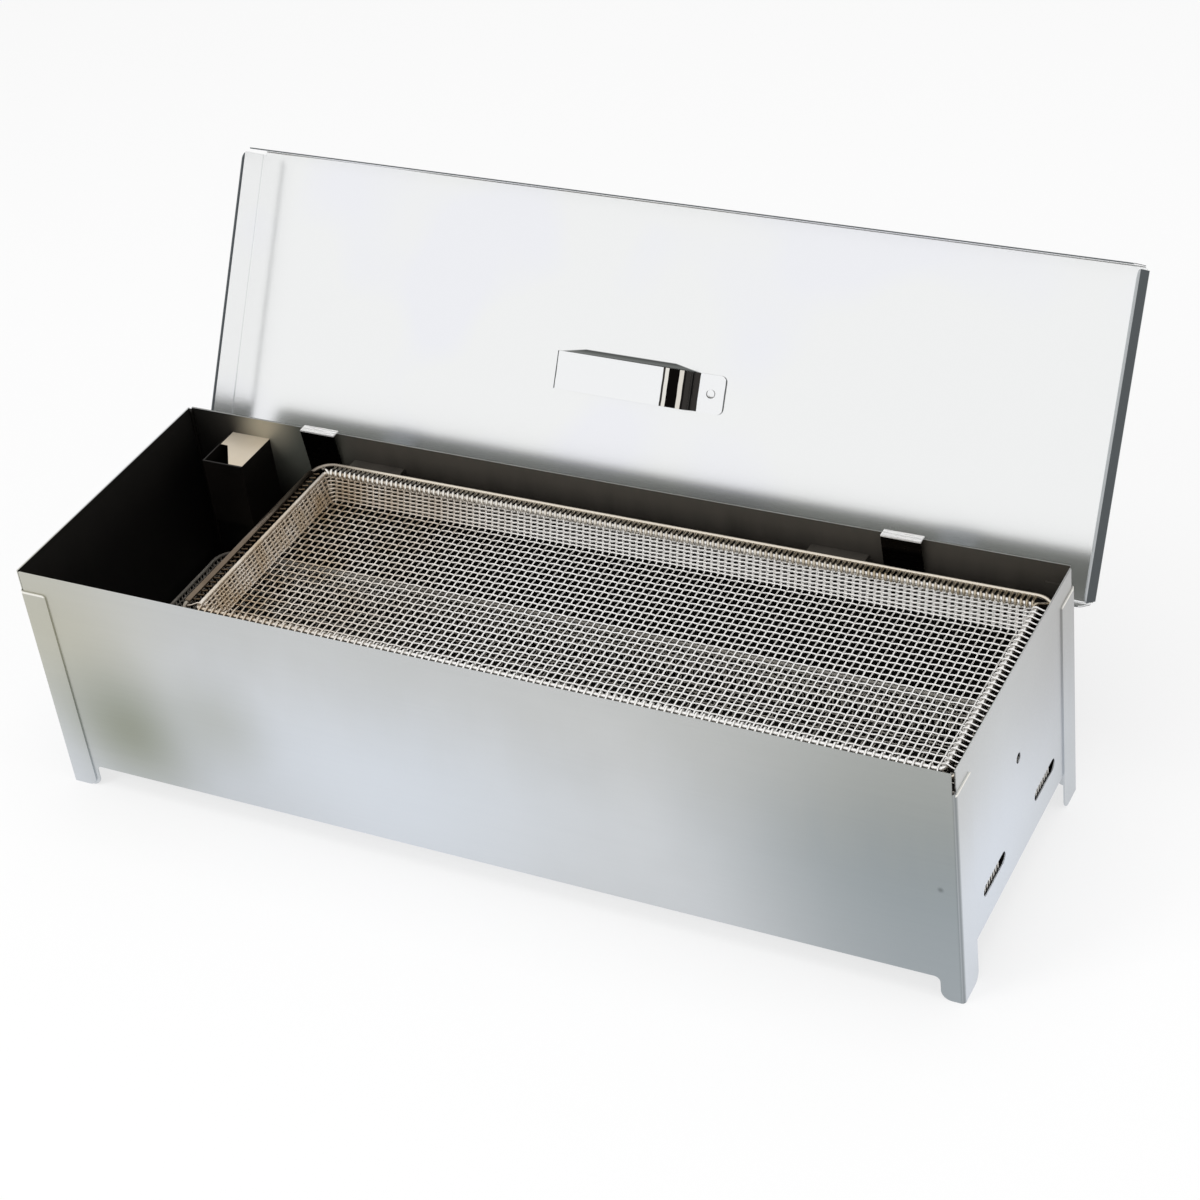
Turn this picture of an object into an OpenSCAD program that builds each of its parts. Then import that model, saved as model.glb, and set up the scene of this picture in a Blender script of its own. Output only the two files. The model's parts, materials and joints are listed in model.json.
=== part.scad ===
// Smokehouse: a long sheet-steel box on four folded feet, with a hinged cap lid,
// a wire-mesh basket for the fish and a wire-mesh sawdust tray on the floor.
// Millimetres, +Z up. The feet stand on Z = 0, X runs along the length, +Y is the hinge side.
// The lid is drawn open on its stop, as it stands at rest.

/* [Body] */
// Length over the two end panels
body_length = 650; // [400:5:900]
// Depth over the front and back panels
body_depth = 210; // [160:1:320]
// Height of the top rim above the table
rim_height = 177; // [140:1:260]
// Thickness of the body sheet
body_sheet = 1; // [0.6:0.1:1.5]
// Inside radius of the body bends
bend_radius = 1.5; // [0.5:0.1:2.5]
// Height of the lower edge of the front and back panels
long_panel_lift = 17.5; // [10:0.5:40]
// Height of the lower edge of the end panels, where the floor lies
end_panel_lift = 29; // [20:0.5:50]

/* [Corners and feet] */
// How far the corner flanges start below the rim
flange_drop = 15; // [5:1:40]
// Width of the left end panel's flanges on the long faces
flange_left = 20; // [10:1:40]
// Width of the long panels' flanges on the right end face
flange_right = 24; // [10:1:40]
// Width of the right end panel's hidden inner flanges
flange_inner = 15; // [8:1:30]
// Width of the right feet on the long faces
foot_long = 14; // [10:1:40]
// Width of the left feet on the end face
foot_end = 20; // [12:1:40]
// Width of the left feet of the long panels, behind the end panel's flanges
foot_left = 23; // [12:1:40]
// Radius of the foot corners
foot_round = 7; // [2:0.5:9]
// Radius of the flanges' upper corners
flange_round = 2.5; // [1:0.5:9]
// Fillet where a foot leaves the panel edge
foot_fillet = 4; // [1:0.5:8]

/* [Right end vents] */
// Diameter of the round draught hole
vent_hole_d = 7; // [3:0.5:14]
// Height of the round draught hole
vent_hole_z = 107; // [80:1:140]
// Length of each slot
slot_length = 38; // [15:1:60]
// Height of each slot opening
slot_height = 8.5; // [4.5:0.5:12]
// Height of the slot centre line
slot_z = 53.5; // [46:0.5:60]
// Distance between the slot centres
slot_spread = 92; // [70:1:130]

/* [Floor] */
// Height of the floor's upturned edge
floor_edge = 12; // [6:1:20]

/* [Wall box] */
// Distance from the left end panel's outer face
wall_box_offset = 33; // [15:1:60]
// Width of the box along the back wall
wall_box_width = 32; // [20:1:50]
// How far the box stands out from the back wall
wall_box_depth = 38; // [20:1:60]
// Height of the box
wall_box_height = 50; // [30:1:60]
// How far the box top lies below the rim
wall_box_drop = 15; // [8:1:30]
// Width of the top flap's notch at the front of the box
wall_box_notch = 20; // [8:1:26]
// Width of the notch at its inner end
wall_box_notch_end = 6; // [2:1:12]
// How far the notch runs towards the back wall
wall_box_notch_run = 21; // [5:1:30]

/* [Hinges] */
// Distance from each end of the body to the nearer hinge's middle
hinge_inset = 110; // [60:1:150]
// Width of a hinge strap
strap_width = 27; // [20:1:40]
// Thickness of a hinge strap
strap_sheet = 1; // [0.8:0.1:1.2]
// How far the strap's top reaches in from the back wall
strap_shelf = 5; // [4:0.5:9.5]
// How far the strap's inner leg drops before it meets the wall
strap_drop = 31; // [20:1:40]
// Height of the strap's riveted foot
strap_foot = 12; // [8:1:20]
// Depth of the hinge axis below the rim
hinge_drop = 36; // [33:0.5:50]
// Diameter of the hinge pin
pin_d = 3; // [2:0.1:4]
// Running clearance of the pin, on the radius
pin_clearance = 0.05; // [0.02:0.01:0.1]
// Height of the pin's two heads
pin_head = 1; // [0.5:0.1:2]
// Gap between the hinge eyes and the back wall
eye_wall_gap = 0.4; // [0.3:0.1:1]
// Wall of the rolled hinge eyes
eye_wall = 1.05; // [0.8:0.05:1.5]
// Width of the strap's middle eye
eye_width = 10; // [6:0.5:14]
// Side clearance between the eyes
eye_gap = 0.4; // [0.2:0.1:1]
// Thickness of the lid's hinge leaf
leaf_sheet = 1; // [0.8:0.1:1.5]
// How far the leaf lies on the lid's rear skirt
leaf_lap = 18; // [14:1:22]
// Length of the stop heel below the hinge axis
stop_heel = 5.5; // [4:0.5:8]
// Gap left at the stop
stop_gap = 0.15; // [0.1:0.05:0.3]

/* [Rivets] */
// Shank diameter
rivet_d = 3; // [2:0.1:4]
// Head diameter
rivet_head_d = 6; // [4.5:0.1:7]
// Head height
rivet_head_h = 1.4; // [0.8:0.1:2]
// How much wider than the shank a rivet hole is
rivet_clearance = 0.1; // [0.05:0.05:0.3]
// Distance between the two rivets of a hinge
rivet_spread = 14; // [10:0.5:18]

/* [Lid] */
// Opening angle at rest, on the stop
lid_open = 122; // [95:1:130]
// Thickness of the lid sheet
lid_sheet = 0.8; // [0.6:0.1:1.2]
// Inside radius of the lid bends
lid_bend = 1; // [0.5:0.1:1]
// Depth of the lid skirt
skirt_depth = 28; // [24:0.5:30]
// Clearance between the skirt and the body's flanges
lid_gap = 0.6; // [0.4:0.1:1.5]
// Gap between the closed lid and the strap tops
lid_rest_gap = 0.3; // [0.2:0.1:1]
// Length of the open corner notch between two skirts
lid_corner = 3; // [2.5:0.1:6]
// Radius of the skirts' lower corners
skirt_round = 6; // [2:0.5:10]

/* [Lid clip] */
// Length of the raised strip
clip_ramp = 100; // [60:1:140]
// Length of the fixed tab
clip_tab = 20; // [14:1:40]
// Width of the strip
clip_width = 26; // [16:1:40]
// How far the strip stands off the lid at its high end, over an S bend as long as it is high
clip_rise = 7; // [5:0.5:10]
// Thickness of the strip
clip_sheet = 1; // [0.6:0.1:1.5]
// Radius of the strip's corners
clip_round = 4; // [1:0.5:7]
// Gap between the lid and the strip's free end
clip_end_gap = 0.1; // [0.1:0.1:0.5]
// Middle of the clip along the length, from the middle of the lid
clip_x = -7; // [-80:1:80]
// Middle of the clip from the lid's rear edge
clip_from_rear = 93; // [60:1:140]

/* [Fish basket] */
// Free length of the chamber left of the basket
basket_free_left = 112; // [80:1:180]
// Gap between the basket and the right end panel
basket_gap_right = 2.5; // [2:0.5:30]
// Gap between the basket and the long walls
basket_gap_long = 10.5; // [10.5:0.5:16]
// How far the rim rods lie below the body rim
basket_drop = 18; // [16:0.5:24]
// Depth of the basket below its rim
basket_depth = 20; // [14:1:30]
// Width of the flat rim over both rods
basket_rim = 12.5; // [11:0.5:20]
// How far the sides slope inwards
basket_slope = 6; // [2:0.5:12]
// Diameter of the rim rods
basket_rod = 3; // [2:0.1:4]
// Corner radius of the inner rim rod
basket_round = 5.5; // [5:0.5:25]
// Thickness of the woven wire
mesh_wire = 1.2; // [0.8:0.1:2]
// Number of net gaps along the basket
basket_cells_x = 26; // [10:1:28]
// Number of net gaps across the basket
basket_cells_y = 10; // [4:1:10]
// Share of a net gap that is open
mesh_open = 0.86; // [0.6:0.01:0.92]
// Solid border round the nets
net_border = 4; // [2:0.5:8]

/* [Basket brackets] */
// Gap along the wall between a hinge strap and the bracket beside it
bracket_strap_gap = 10.5; // [4:0.5:30]
// Length of a bracket
bracket_length = 40; // [20:1:60]
// Height of the leaf on the wall
bracket_leaf = 20; // [12:1:30]
// How far the ledge reaches under the rim, past the basket gap
bracket_reach = 7.5; // [4:0.5:9]
// Thickness of a bracket
bracket_sheet = 1.2; // [0.8:0.1:2]
// Clearance under the rim rods
bracket_gap = 0.3; // [0.1:0.1:0.5]

/* [Sawdust tray] */
// Height of the tray from its base to the rim rod
tray_depth = 27; // [18:1:32]
// Gap between the tray rim and the end panels
tray_gap_end = 4; // [3:0.5:10]
// Gap between the tray rim and the long panels
tray_gap_long = 3; // [2.5:0.5:10]
// How far the tray sides slope inwards
tray_slope = 5; // [2:0.5:10]
// Diameter of the tray's rim rod
tray_rod = 2.4; // [1.6:0.1:4]
// Corner radius of the tray rim
tray_round = 16; // [12:1:40]
// Clearance between the tray and the floor
tray_gap = 0.3; // [0.1:0.1:0.5]
// Number of net gaps along the tray
tray_cells_x = 27; // [10:1:28]
// Number of net gaps across the tray
tray_cells_y = 9; // [4:1:10]

/* [Hidden] */
$fa = 6;
$fs = 0.4;
eps = 0.01;
t = body_sheet;
cut_run = 10 * t;
bend_lap = t / 2;
bend_out = bend_radius + t;
x_l = -body_length / 2;
x_r = body_length / 2;
y_f = -body_depth / 2;
y_b = body_depth / 2;
flange_top = rim_height - flange_drop;
floor_top = end_panel_lift + t;

// hinge
eye_r = pin_d / 2 + pin_clearance + eye_wall;
hinge_x = body_length / 2 - hinge_inset;
hinge_y = y_b + eye_wall_gap + eye_r;
hinge_z = rim_height - hinge_drop;
bore_d = pin_d + 2 * pin_clearance;
rivet_hole_d = rivet_d + rivet_clearance;
eye_top = hinge_z + eye_r + eye_gap;
strap_in_y = y_b - t - strap_shelf;
strap_foot_z = rim_height - strap_drop - strap_foot / 2;
pin_span = strap_width + 2 * eye_gap;

// closed lid
lid_out_x = body_length / 2 + t + lid_gap + lid_sheet;
lid_out_y = body_depth / 2 + t + lid_gap + lid_sheet;
lid_under = rim_height + strap_sheet + lid_rest_gap;
lid_top = lid_under + lid_sheet;
skirt_low = lid_top - skirt_depth;
lid_bend_out = lid_bend + lid_sheet;
leaf_y = lid_out_y;
leaf_top = skirt_low + leaf_lap;
leaf_rivet_z = skirt_low + leaf_lap / 2;

// lid clip, drawn under the closed lid
clip_bend = (clip_rise - clip_sheet) / 2;
clip_bend_out = clip_bend + clip_sheet;
clip_total = clip_ramp + clip_rise + clip_tab;
clip_left = clip_x - clip_total / 2;
clip_y = lid_out_y - clip_from_rear;
clip_step_x = clip_left + clip_ramp;
clip_tab_x = clip_step_x + clip_rise;
clip_rivet_x = clip_tab_x + clip_tab / 2;
clip_low = lid_under - clip_rise;

// basket
basket_left = x_l + t + basket_free_left;
basket_right = x_r - t - basket_gap_right;
basket_x = (basket_left + basket_right) / 2;
basket_hx = (basket_right - basket_left) / 2;
basket_hy = body_depth / 2 - t - basket_gap_long;
basket_z = rim_height - basket_drop;
basket_floor_z = basket_z - basket_depth;
basket_inset = basket_rim - basket_rod;
basket_side_hx = basket_hx - basket_inset - basket_rod / 2 + mesh_wire / 2;
basket_side_hy = basket_hy - basket_inset - basket_rod / 2 + mesh_wire / 2;
basket_base_hx = basket_side_hx - basket_slope;
basket_base_hy = basket_side_hy - basket_slope;
basket_outer_round = basket_round + basket_inset;
basket_side_round = basket_round - basket_rod / 2;
ledge_z = basket_z - basket_rod / 2 - bracket_gap;
bracket_from_hinge = (strap_width + bracket_length) / 2 + bracket_strap_gap;
bracket_right_x = hinge_x - bracket_from_hinge;
bracket_left_x = max(-bracket_right_x, basket_left + bracket_length);

// tray
tray_hx = body_length / 2 - t - tray_gap_end;
tray_hy = body_depth / 2 - t - tray_gap_long;
tray_floor_z = floor_top + tray_gap;
tray_z = tray_floor_z + tray_depth;
tray_side_hx = tray_hx - tray_rod / 2 + mesh_wire / 2;
tray_side_hy = tray_hy - tray_rod / 2 + mesh_wire / 2;
tray_base_hx = tray_side_hx - tray_slope;
tray_base_hy = tray_side_hy - tray_slope;
tray_side_round = tray_round - tray_rod / 2;

steel = "#c3c6c8";
bright = "#e4e6ea";
wire = "#b9b4aa";

// plain helpers

// a sheet drawn in X and Z, from y0 towards +Y
module sheet_xz(y0, thick) {
    translate([0, y0 + thick, 0])
        rotate([90, 0, 0])
            linear_extrude(thick)
                children();
}

// a sheet drawn in Y and Z, from x0 towards +X
module sheet_yz(x0, thick) {
    translate([x0, 0, 0])
        rotate([90, 0, 90])
            linear_extrude(thick)
                children();
}

// quarter of a bent sheet in the +X -Y quadrant of its centre, running on a little into both flats
module bend_2d(r_in, r_out) {
    intersection() {
        difference() {
            circle(r_out);
            circle(r_in);
        }
        translate([0, -r_out])
            square([r_out, r_out]);
    }
    translate([-bend_lap, -r_out])
        square([bend_lap, r_out - r_in]);
    translate([r_in, 0])
        square([r_out - r_in, bend_lap]);
}

// what a rounded corner leaves of its square, for the corner at (0, 0)
module corner_cut_2d(r) {
    difference() {
        translate([-eps, -eps])
            square(r + eps);
        translate([r, r])
            circle(r);
    }
}

// rectangle from (0, 0) whose two corners at x = w are rounded
module tongue_2d(w, h, r_low, r_high) {
    difference() {
        square([w, h]);
        translate([w, 0])
            mirror([1, 0])
                corner_cut_2d(r_low);
        translate([w, h])
            rotate(180)
                corner_cut_2d(r_high);
    }
}

// fills the corner between a foot, left of x = 0, and the panel edge above it, at y = 0
module foot_fillet_2d() {
    translate([0, -foot_fillet])
        difference() {
            square(foot_fillet);
            translate([foot_fillet, 0])
                circle(foot_fillet);
        }
}

// rounded rectangle about the origin
module round_rect_2d(hx, hy, r) {
    square([2 * hx, 2 * hy - 2 * r], center = true);
    square([2 * hx - 2 * r, 2 * hy], center = true);
    for (sx = [-1, 1])
        for (sy = [-1, 1])
            translate([sx * (hx - r), sy * (hy - r)])
                circle(r);
}

// closed rod frame whose outer edge is hx by hy
module rod_frame(hx, hy, r, d) {
    cx = hx - d / 2;
    cy = hy - d / 2;
    cr = r - d / 2;
    for (s = [-1, 1]) {
        translate([-(cx - cr), s * cy, 0])
            rotate([0, 90, 0])
                cylinder(h = 2 * (cx - cr), d = d);
        translate([s * cx, cy - cr, 0])
            rotate([90, 0, 0])
                cylinder(h = 2 * (cy - cr), d = d);
    }
    for (q = [[1, 1, 0], [-1, 1, 90], [-1, -1, 180], [1, -1, 270]])
        translate([q[0] * (cx - cr), q[1] * (cy - cr), 0])
            rotate([0, 0, q[2]])
                rotate_extrude(angle = 90)
                    translate([cr, 0])
                        circle(d = d);
}

// flat net: a plate with square gaps
module net_2d(hx, hy, r, nx, ny) {
    px = 2 * (hx - net_border) / nx;
    py = 2 * (hy - net_border) / ny;
    difference() {
        round_rect_2d(hx, hy, r);
        for (i = [0 : nx - 1])
            for (j = [0 : ny - 1])
                translate([-hx + net_border + (i + 0.5) * px, -hy + net_border + (j + 0.5) * py])
                    square([px * mesh_open, py * mesh_open], center = true);
    }
}

// four sloping net sides, drawn as a thin closed sheet
module sloped_sides(top_hx, top_hy, top_z, low_hx, low_hy, low_z, r) {
    difference() {
        hull() {
            translate([0, 0, top_z - eps])
                linear_extrude(eps)
                    round_rect_2d(top_hx, top_hy, r);
            translate([0, 0, low_z])
                linear_extrude(eps)
                    round_rect_2d(low_hx, low_hy, r);
        }
        hull() {
            translate([0, 0, top_z])
                linear_extrude(eps)
                    round_rect_2d(top_hx - mesh_wire, top_hy - mesh_wire, r - mesh_wire);
            translate([0, 0, low_z - eps])
                linear_extrude(eps)
                    round_rect_2d(low_hx - mesh_wire, low_hy - mesh_wire, r - mesh_wire);
        }
    }
}

// rivet with its head towards +Z and its shank below
module rivet(grip) {
    translate([0, 0, -grip])
        cylinder(h = grip + eps, d = rivet_d);
    intersection() {
        cylinder(h = rivet_head_h, d = rivet_head_d);
        translate([0, 0, rivet_head_h - rivet_head_d])
            sphere(rivet_head_d);
    }
}

// puts what is drawn on the closed lid where the open lid stands
module on_lid() {
    translate([0, hinge_y, hinge_z])
        rotate([-lid_open, 0, 0])
            translate([0, -hinge_y, -hinge_z])
                children();
}

// body

// front panel; the back panel is its mirror image
module long_panel() {
    sheet_start = x_l + t + bend_radius;
    sheet_end = x_r - bend_radius;
    foot_rise = long_panel_lift + 2 * foot_round;
    sheet_xz(y_f, t) {
        translate([sheet_start, long_panel_lift])
            square([sheet_end - sheet_start, rim_height - long_panel_lift]);
        translate([sheet_start, 0])
            tongue_2d(x_l + foot_left - sheet_start, foot_rise, foot_round, foot_round);
        translate([x_l + foot_left, long_panel_lift])
            foot_fillet_2d();
        translate([sheet_end, 0])
            mirror([1, 0])
                tongue_2d(foot_long - bend_radius, foot_rise, foot_round, foot_round);
        translate([x_r - foot_long, long_panel_lift])
            mirror([1, 0])
                foot_fillet_2d();
    }
    translate([sheet_end, y_f + bend_out, 0])
        linear_extrude(flange_top)
            bend_2d(bend_radius, bend_out);
    sheet_yz(x_r, t)
        translate([y_f + bend_out, 0])
            tongue_2d(flange_right - bend_out, flange_top, foot_round, flange_round);
}

module front_panel() {
    color(steel)
        long_panel();
}

module back_panel() {
    color(steel)
        difference() {
            mirror([0, 1, 0])
                long_panel();
            strap_rivet_places()
                cylinder(h = cut_run, d = rivet_hole_d, center = true);
        }
}

module left_end_panel() {
    sheet_half = body_depth / 2 - bend_radius;
    foot_rise = end_panel_lift + 2 * foot_round;
    color(steel) {
        sheet_yz(x_l, t) {
            translate([-sheet_half, end_panel_lift])
                square([2 * sheet_half, rim_height - end_panel_lift]);
            for (s = [0, 1])
                mirror([s, 0]) {
                    translate([-sheet_half, 0])
                        tongue_2d(foot_end - bend_radius, foot_rise, foot_round, foot_round);
                    translate([-sheet_half + foot_end - bend_radius, end_panel_lift])
                        foot_fillet_2d();
                }
        }
        for (s = [0, 1])
            mirror([0, s, 0]) {
                translate([x_l + bend_out, y_f + bend_radius, 0])
                    linear_extrude(flange_top)
                        mirror([1, 0])
                            bend_2d(bend_radius, bend_out);
                sheet_xz(y_f - t, t)
                    translate([x_l + bend_out, 0])
                        tongue_2d(flange_left - bend_out, flange_top, foot_round, flange_round);
            }
    }
}

module right_end_panel() {
    sheet_half = body_depth / 2 - t - bend_out;
    color(steel)
        difference() {
            union() {
                sheet_yz(x_r - t, t)
                    translate([-sheet_half, end_panel_lift])
                        square([2 * sheet_half, rim_height - end_panel_lift]);
                for (s = [0, 1])
                    mirror([0, s, 0]) {
                        translate([x_r - bend_out, y_f + t + bend_out, end_panel_lift])
                            linear_extrude(flange_top - end_panel_lift)
                                bend_2d(bend_radius, bend_out);
                        translate([x_r - bend_out - flange_inner, y_f + t, end_panel_lift])
                            cube([flange_inner, t, flange_top - end_panel_lift]);
                    }
            }
            translate([x_r, 0, vent_hole_z])
                rotate([0, 90, 0])
                    cylinder(h = cut_run, d = vent_hole_d, center = true);
            for (s = [-1, 1])
                sheet_yz(x_r - cut_run / 2, cut_run)
                    translate([s * slot_spread / 2, slot_z]) {
                        square([slot_length - slot_height, slot_height], center = true);
                        for (e = [-1, 1])
                            translate([e * (slot_length - slot_height) / 2, 0])
                                circle(d = slot_height);
                    }
        }
}

// floor with upturned edges, notched round the right end panel's inner flanges
module floor_pan() {
    half = body_depth / 2 - t;
    tongue_half = half - t - bend_radius;
    start = x_l + t;
    notch = x_r - bend_out - flange_inner;
    finish = x_r - t;
    color(steel) {
        translate([start, -half, end_panel_lift])
            cube([notch - start, 2 * half, t]);
        translate([notch, -tongue_half, end_panel_lift])
            cube([finish - notch, 2 * tongue_half, t]);
        for (s = [0, 1])
            mirror([0, s, 0])
                translate([start, -half, end_panel_lift])
                    cube([notch - start, t, floor_edge]);
        translate([start, -half, end_panel_lift])
            cube([t, 2 * half, floor_edge]);
        translate([finish - t, -tongue_half, end_panel_lift])
            cube([t, 2 * tongue_half, floor_edge]);
    }
}

// folded sheet box on the back wall, open below, with a notch in its top flap
module wall_box() {
    x0 = x_l + wall_box_offset;
    y0 = y_b - t - wall_box_depth;
    z1 = rim_height - wall_box_drop;
    z0 = z1 - wall_box_height;
    color(steel)
        difference() {
            translate([x0, y0, z0])
                cube([wall_box_width, wall_box_depth, wall_box_height]);
            translate([x0 + t, y0 + t, z0 - t])
                cube([wall_box_width - 2 * t, wall_box_depth - 2 * t, wall_box_height]);
            translate([x0 + t, y0 + t, z1 - 2 * t])
                linear_extrude(4 * t)
                    polygon([
                        [0, 0],
                        [wall_box_notch, 0],
                        [wall_box_notch_end, wall_box_notch_run],
                        [0, wall_box_notch_run]
                    ]);
        }
}

// hinges

module at_hinges() {
    for (s = [-1, 1])
        translate([s * hinge_x, 0, 0])
            children();
}

// both rivets of each strap, with +Z pointing into the chamber
module strap_rivet_places() {
    at_hinges()
        for (s = [-1, 1])
            translate([s * rivet_spread / 2, y_b - t - strap_sheet, strap_foot_z])
                rotate([90, 0, 0])
                    children();
}

// both rivets of each leaf on the closed lid, with +Z pointing out
module leaf_rivet_places() {
    at_hinges()
        for (s = [-1, 1])
            translate([s * rivet_spread / 2, leaf_y + leaf_sheet, leaf_rivet_z])
                rotate([-90, 0, 0])
                    children();
}

// strap bent over the back rim: riveted inside, with the middle hinge eye outside
module hinge_strap() {
    wall_y = y_b - t;
    low_z = rim_height - strap_drop;
    difference() {
        union() {
            sheet_yz(-strap_width / 2, strap_width) {
                translate([y_b, eye_top])
                    square([strap_sheet, rim_height + strap_sheet - eye_top]);
                translate([strap_in_y, rim_height])
                    square([y_b - strap_in_y, strap_sheet]);
                polygon([
                    [strap_in_y, rim_height + strap_sheet],
                    [strap_in_y + strap_sheet, rim_height],
                    [wall_y, low_z],
                    [wall_y - strap_sheet, low_z]
                ]);
                translate([wall_y - strap_sheet, low_z - strap_foot])
                    square([strap_sheet, strap_foot]);
            }
            sheet_yz(-eye_width / 2, eye_width) {
                translate([y_b, hinge_z])
                    square([strap_sheet, eye_top - hinge_z]);
                translate([hinge_y, hinge_z])
                    circle(eye_r);
            }
        }
        translate([0, hinge_y, hinge_z])
            rotate([0, 90, 0])
                cylinder(h = 2 * strap_width, d = bore_d, center = true);
        for (s = [-1, 1])
            translate([s * rivet_spread / 2, wall_y, strap_foot_z])
                rotate([90, 0, 0])
                    cylinder(h = cut_run, d = rivet_hole_d, center = true);
    }
}

module hinge_strap_left() {
    color(bright)
        translate([-hinge_x, 0, 0])
            hinge_strap();
}

module hinge_strap_right() {
    color(bright)
        translate([hinge_x, 0, 0])
            hinge_strap();
}

module strap_rivets() {
    color(bright)
        strap_rivet_places()
            rivet(strap_sheet + t);
}

module hinge_pin() {
    translate([0, hinge_y, hinge_z])
        rotate([0, 90, 0]) {
            cylinder(h = pin_span, d = pin_d, center = true);
            for (s = [-1, 1])
                translate([0, 0, s * (pin_span + pin_head) / 2])
                    cylinder(h = pin_head, r = eye_r, center = true);
        }
}

module hinge_pin_left() {
    color(bright)
        translate([-hinge_x, 0, 0])
            hinge_pin();
}

module hinge_pin_right() {
    color(bright)
        translate([hinge_x, 0, 0])
            hinge_pin();
}

// the leaf's plate in Y and Z where the open lid holds it, from the given height of the closed lid
module leaf_plate_2d(from_z) {
    translate([hinge_y, hinge_z])
        rotate(-lid_open)
            translate([leaf_y - hinge_y, from_z - hinge_z])
                square([leaf_sheet, leaf_top - from_z]);
}

// leaf on the lid: plate on the rear skirt, two side eyes and the heel that stops the lid
module hinge_leaf() {
    side = (strap_width - eye_width) / 2 - eye_gap;
    difference() {
        union() {
            sheet_yz(-strap_width / 2 + side / 2, strap_width - side)
                leaf_plate_2d(eye_top);
            for (s = [-1, 1])
                sheet_yz(s * (strap_width - side) / 2 - side / 2, side)
                    difference() {
                        union() {
                            leaf_plate_2d(hinge_z);
                            translate([hinge_y, hinge_z])
                                circle(eye_r);
                            translate([y_b + stop_gap, hinge_z - stop_heel])
                                square([hinge_y - y_b - stop_gap, stop_heel]);
                        }
                        translate([hinge_y, hinge_z])
                            circle(d = bore_d);
                    }
        }
        on_lid()
            for (s = [-1, 1])
                translate([s * rivet_spread / 2, leaf_y, leaf_rivet_z])
                    rotate([90, 0, 0])
                        cylinder(h = cut_run, d = rivet_hole_d, center = true);
    }
}

module hinge_leaf_left() {
    color(bright)
        translate([-hinge_x, 0, 0])
            hinge_leaf();
}

module hinge_leaf_right() {
    color(bright)
        translate([hinge_x, 0, 0])
            hinge_leaf();
}

module leaf_rivets() {
    color(bright)
        on_lid()
            leaf_rivet_places()
                rivet(leaf_sheet + lid_sheet);
}

// lid

// one bent skirt along the front edge of a plate of the given half sizes
module lid_side(half_run, half_out) {
    run = half_run - lid_corner;
    translate([-run, -half_out + lid_bend_out, lid_top - lid_bend_out])
        rotate([90, 0, 90])
            linear_extrude(2 * run)
                rotate(180)
                    bend_2d(lid_bend, lid_bend_out);
    sheet_xz(-half_out, lid_sheet)
        translate([0, lid_top - lid_bend_out])
            for (s = [0, 1])
                mirror([s, 0])
                    mirror([0, 1])
                        difference() {
                            square([run, skirt_depth - lid_bend_out]);
                            translate([run, skirt_depth - lid_bend_out])
                                rotate(180)
                                    corner_cut_2d(skirt_round);
                        }
}

module lid_shell() {
    color(bright)
        on_lid()
            difference() {
                union() {
                    translate([0, 0, lid_under])
                        linear_extrude(lid_sheet)
                            square([2 * (lid_out_x - lid_bend_out), 2 * (lid_out_y - lid_bend_out)],
                                center = true);
                    for (s = [0, 1])
                        mirror([0, s, 0])
                            lid_side(lid_out_x, lid_out_y);
                    for (s = [0, 1])
                        mirror([s, 0, 0])
                            rotate([0, 0, 90])
                                lid_side(lid_out_y, lid_out_x);
                }
                leaf_rivet_places()
                    cylinder(h = cut_run, d = rivet_hole_d, center = true);
                translate([clip_rivet_x, clip_y, lid_top])
                    cylinder(h = cut_run, d = rivet_hole_d, center = true);
            }
}

// side view of the clip: riveted tab, S bend and a ramp back to the lid
module clip_side_2d() {
    bend_z = lid_under - clip_bend_out;
    translate([clip_tab_x, lid_under - clip_sheet])
        square([clip_tab, clip_sheet]);
    translate([clip_tab_x, bend_z])
        rotate(180)
            bend_2d(clip_bend, clip_bend_out);
    translate([clip_step_x, bend_z])
        bend_2d(clip_bend, clip_bend_out);
    polygon([
        [clip_step_x, clip_low],
        [clip_left, lid_under - clip_end_gap],
        [clip_left, lid_under - clip_end_gap - clip_sheet],
        [clip_step_x, clip_low - clip_sheet]
    ]);
}

// springy strip on the inside of the lid
module lid_clip() {
    color(bright)
        on_lid()
            difference() {
                intersection() {
                    sheet_xz(clip_y - clip_width / 2, clip_width)
                        clip_side_2d();
                    translate([clip_left, clip_y - clip_width / 2, clip_low - cut_run / 2])
                        linear_extrude(clip_rise + cut_run)
                            tongue_2d(clip_total, clip_width, clip_round, clip_round);
                }
                translate([clip_rivet_x, clip_y, lid_under])
                    cylinder(h = cut_run, d = rivet_hole_d, center = true);
            }
}

module clip_rivet() {
    color(bright)
        on_lid()
            translate([clip_rivet_x, clip_y, lid_under - clip_sheet])
                rotate([180, 0, 0])
                    rivet(clip_sheet + lid_sheet);
}

// basket

module bracket() {
    reach = basket_gap_long + bracket_reach;
    translate([-bracket_length / 2, -reach, ledge_z - bracket_sheet])
        cube([bracket_length, reach, bracket_sheet]);
    translate([-bracket_length / 2, -bracket_sheet, ledge_z - bracket_leaf])
        cube([bracket_length, bracket_sheet, bracket_leaf]);
}

module bracket_front_left() {
    color(steel)
        translate([bracket_left_x, y_f + t, 0])
            mirror([0, 1, 0])
                bracket();
}

module bracket_front_right() {
    color(steel)
        translate([bracket_right_x, y_f + t, 0])
            mirror([0, 1, 0])
                bracket();
}

module bracket_back_left() {
    color(steel)
        translate([bracket_left_x, y_b - t, 0])
            bracket();
}

module bracket_back_right() {
    color(steel)
        translate([bracket_right_x, y_b - t, 0])
            bracket();
}

module basket_outer_rod() {
    color(wire)
        translate([basket_x, 0, basket_z])
            rod_frame(basket_hx, basket_hy, basket_outer_round, basket_rod);
}

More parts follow.
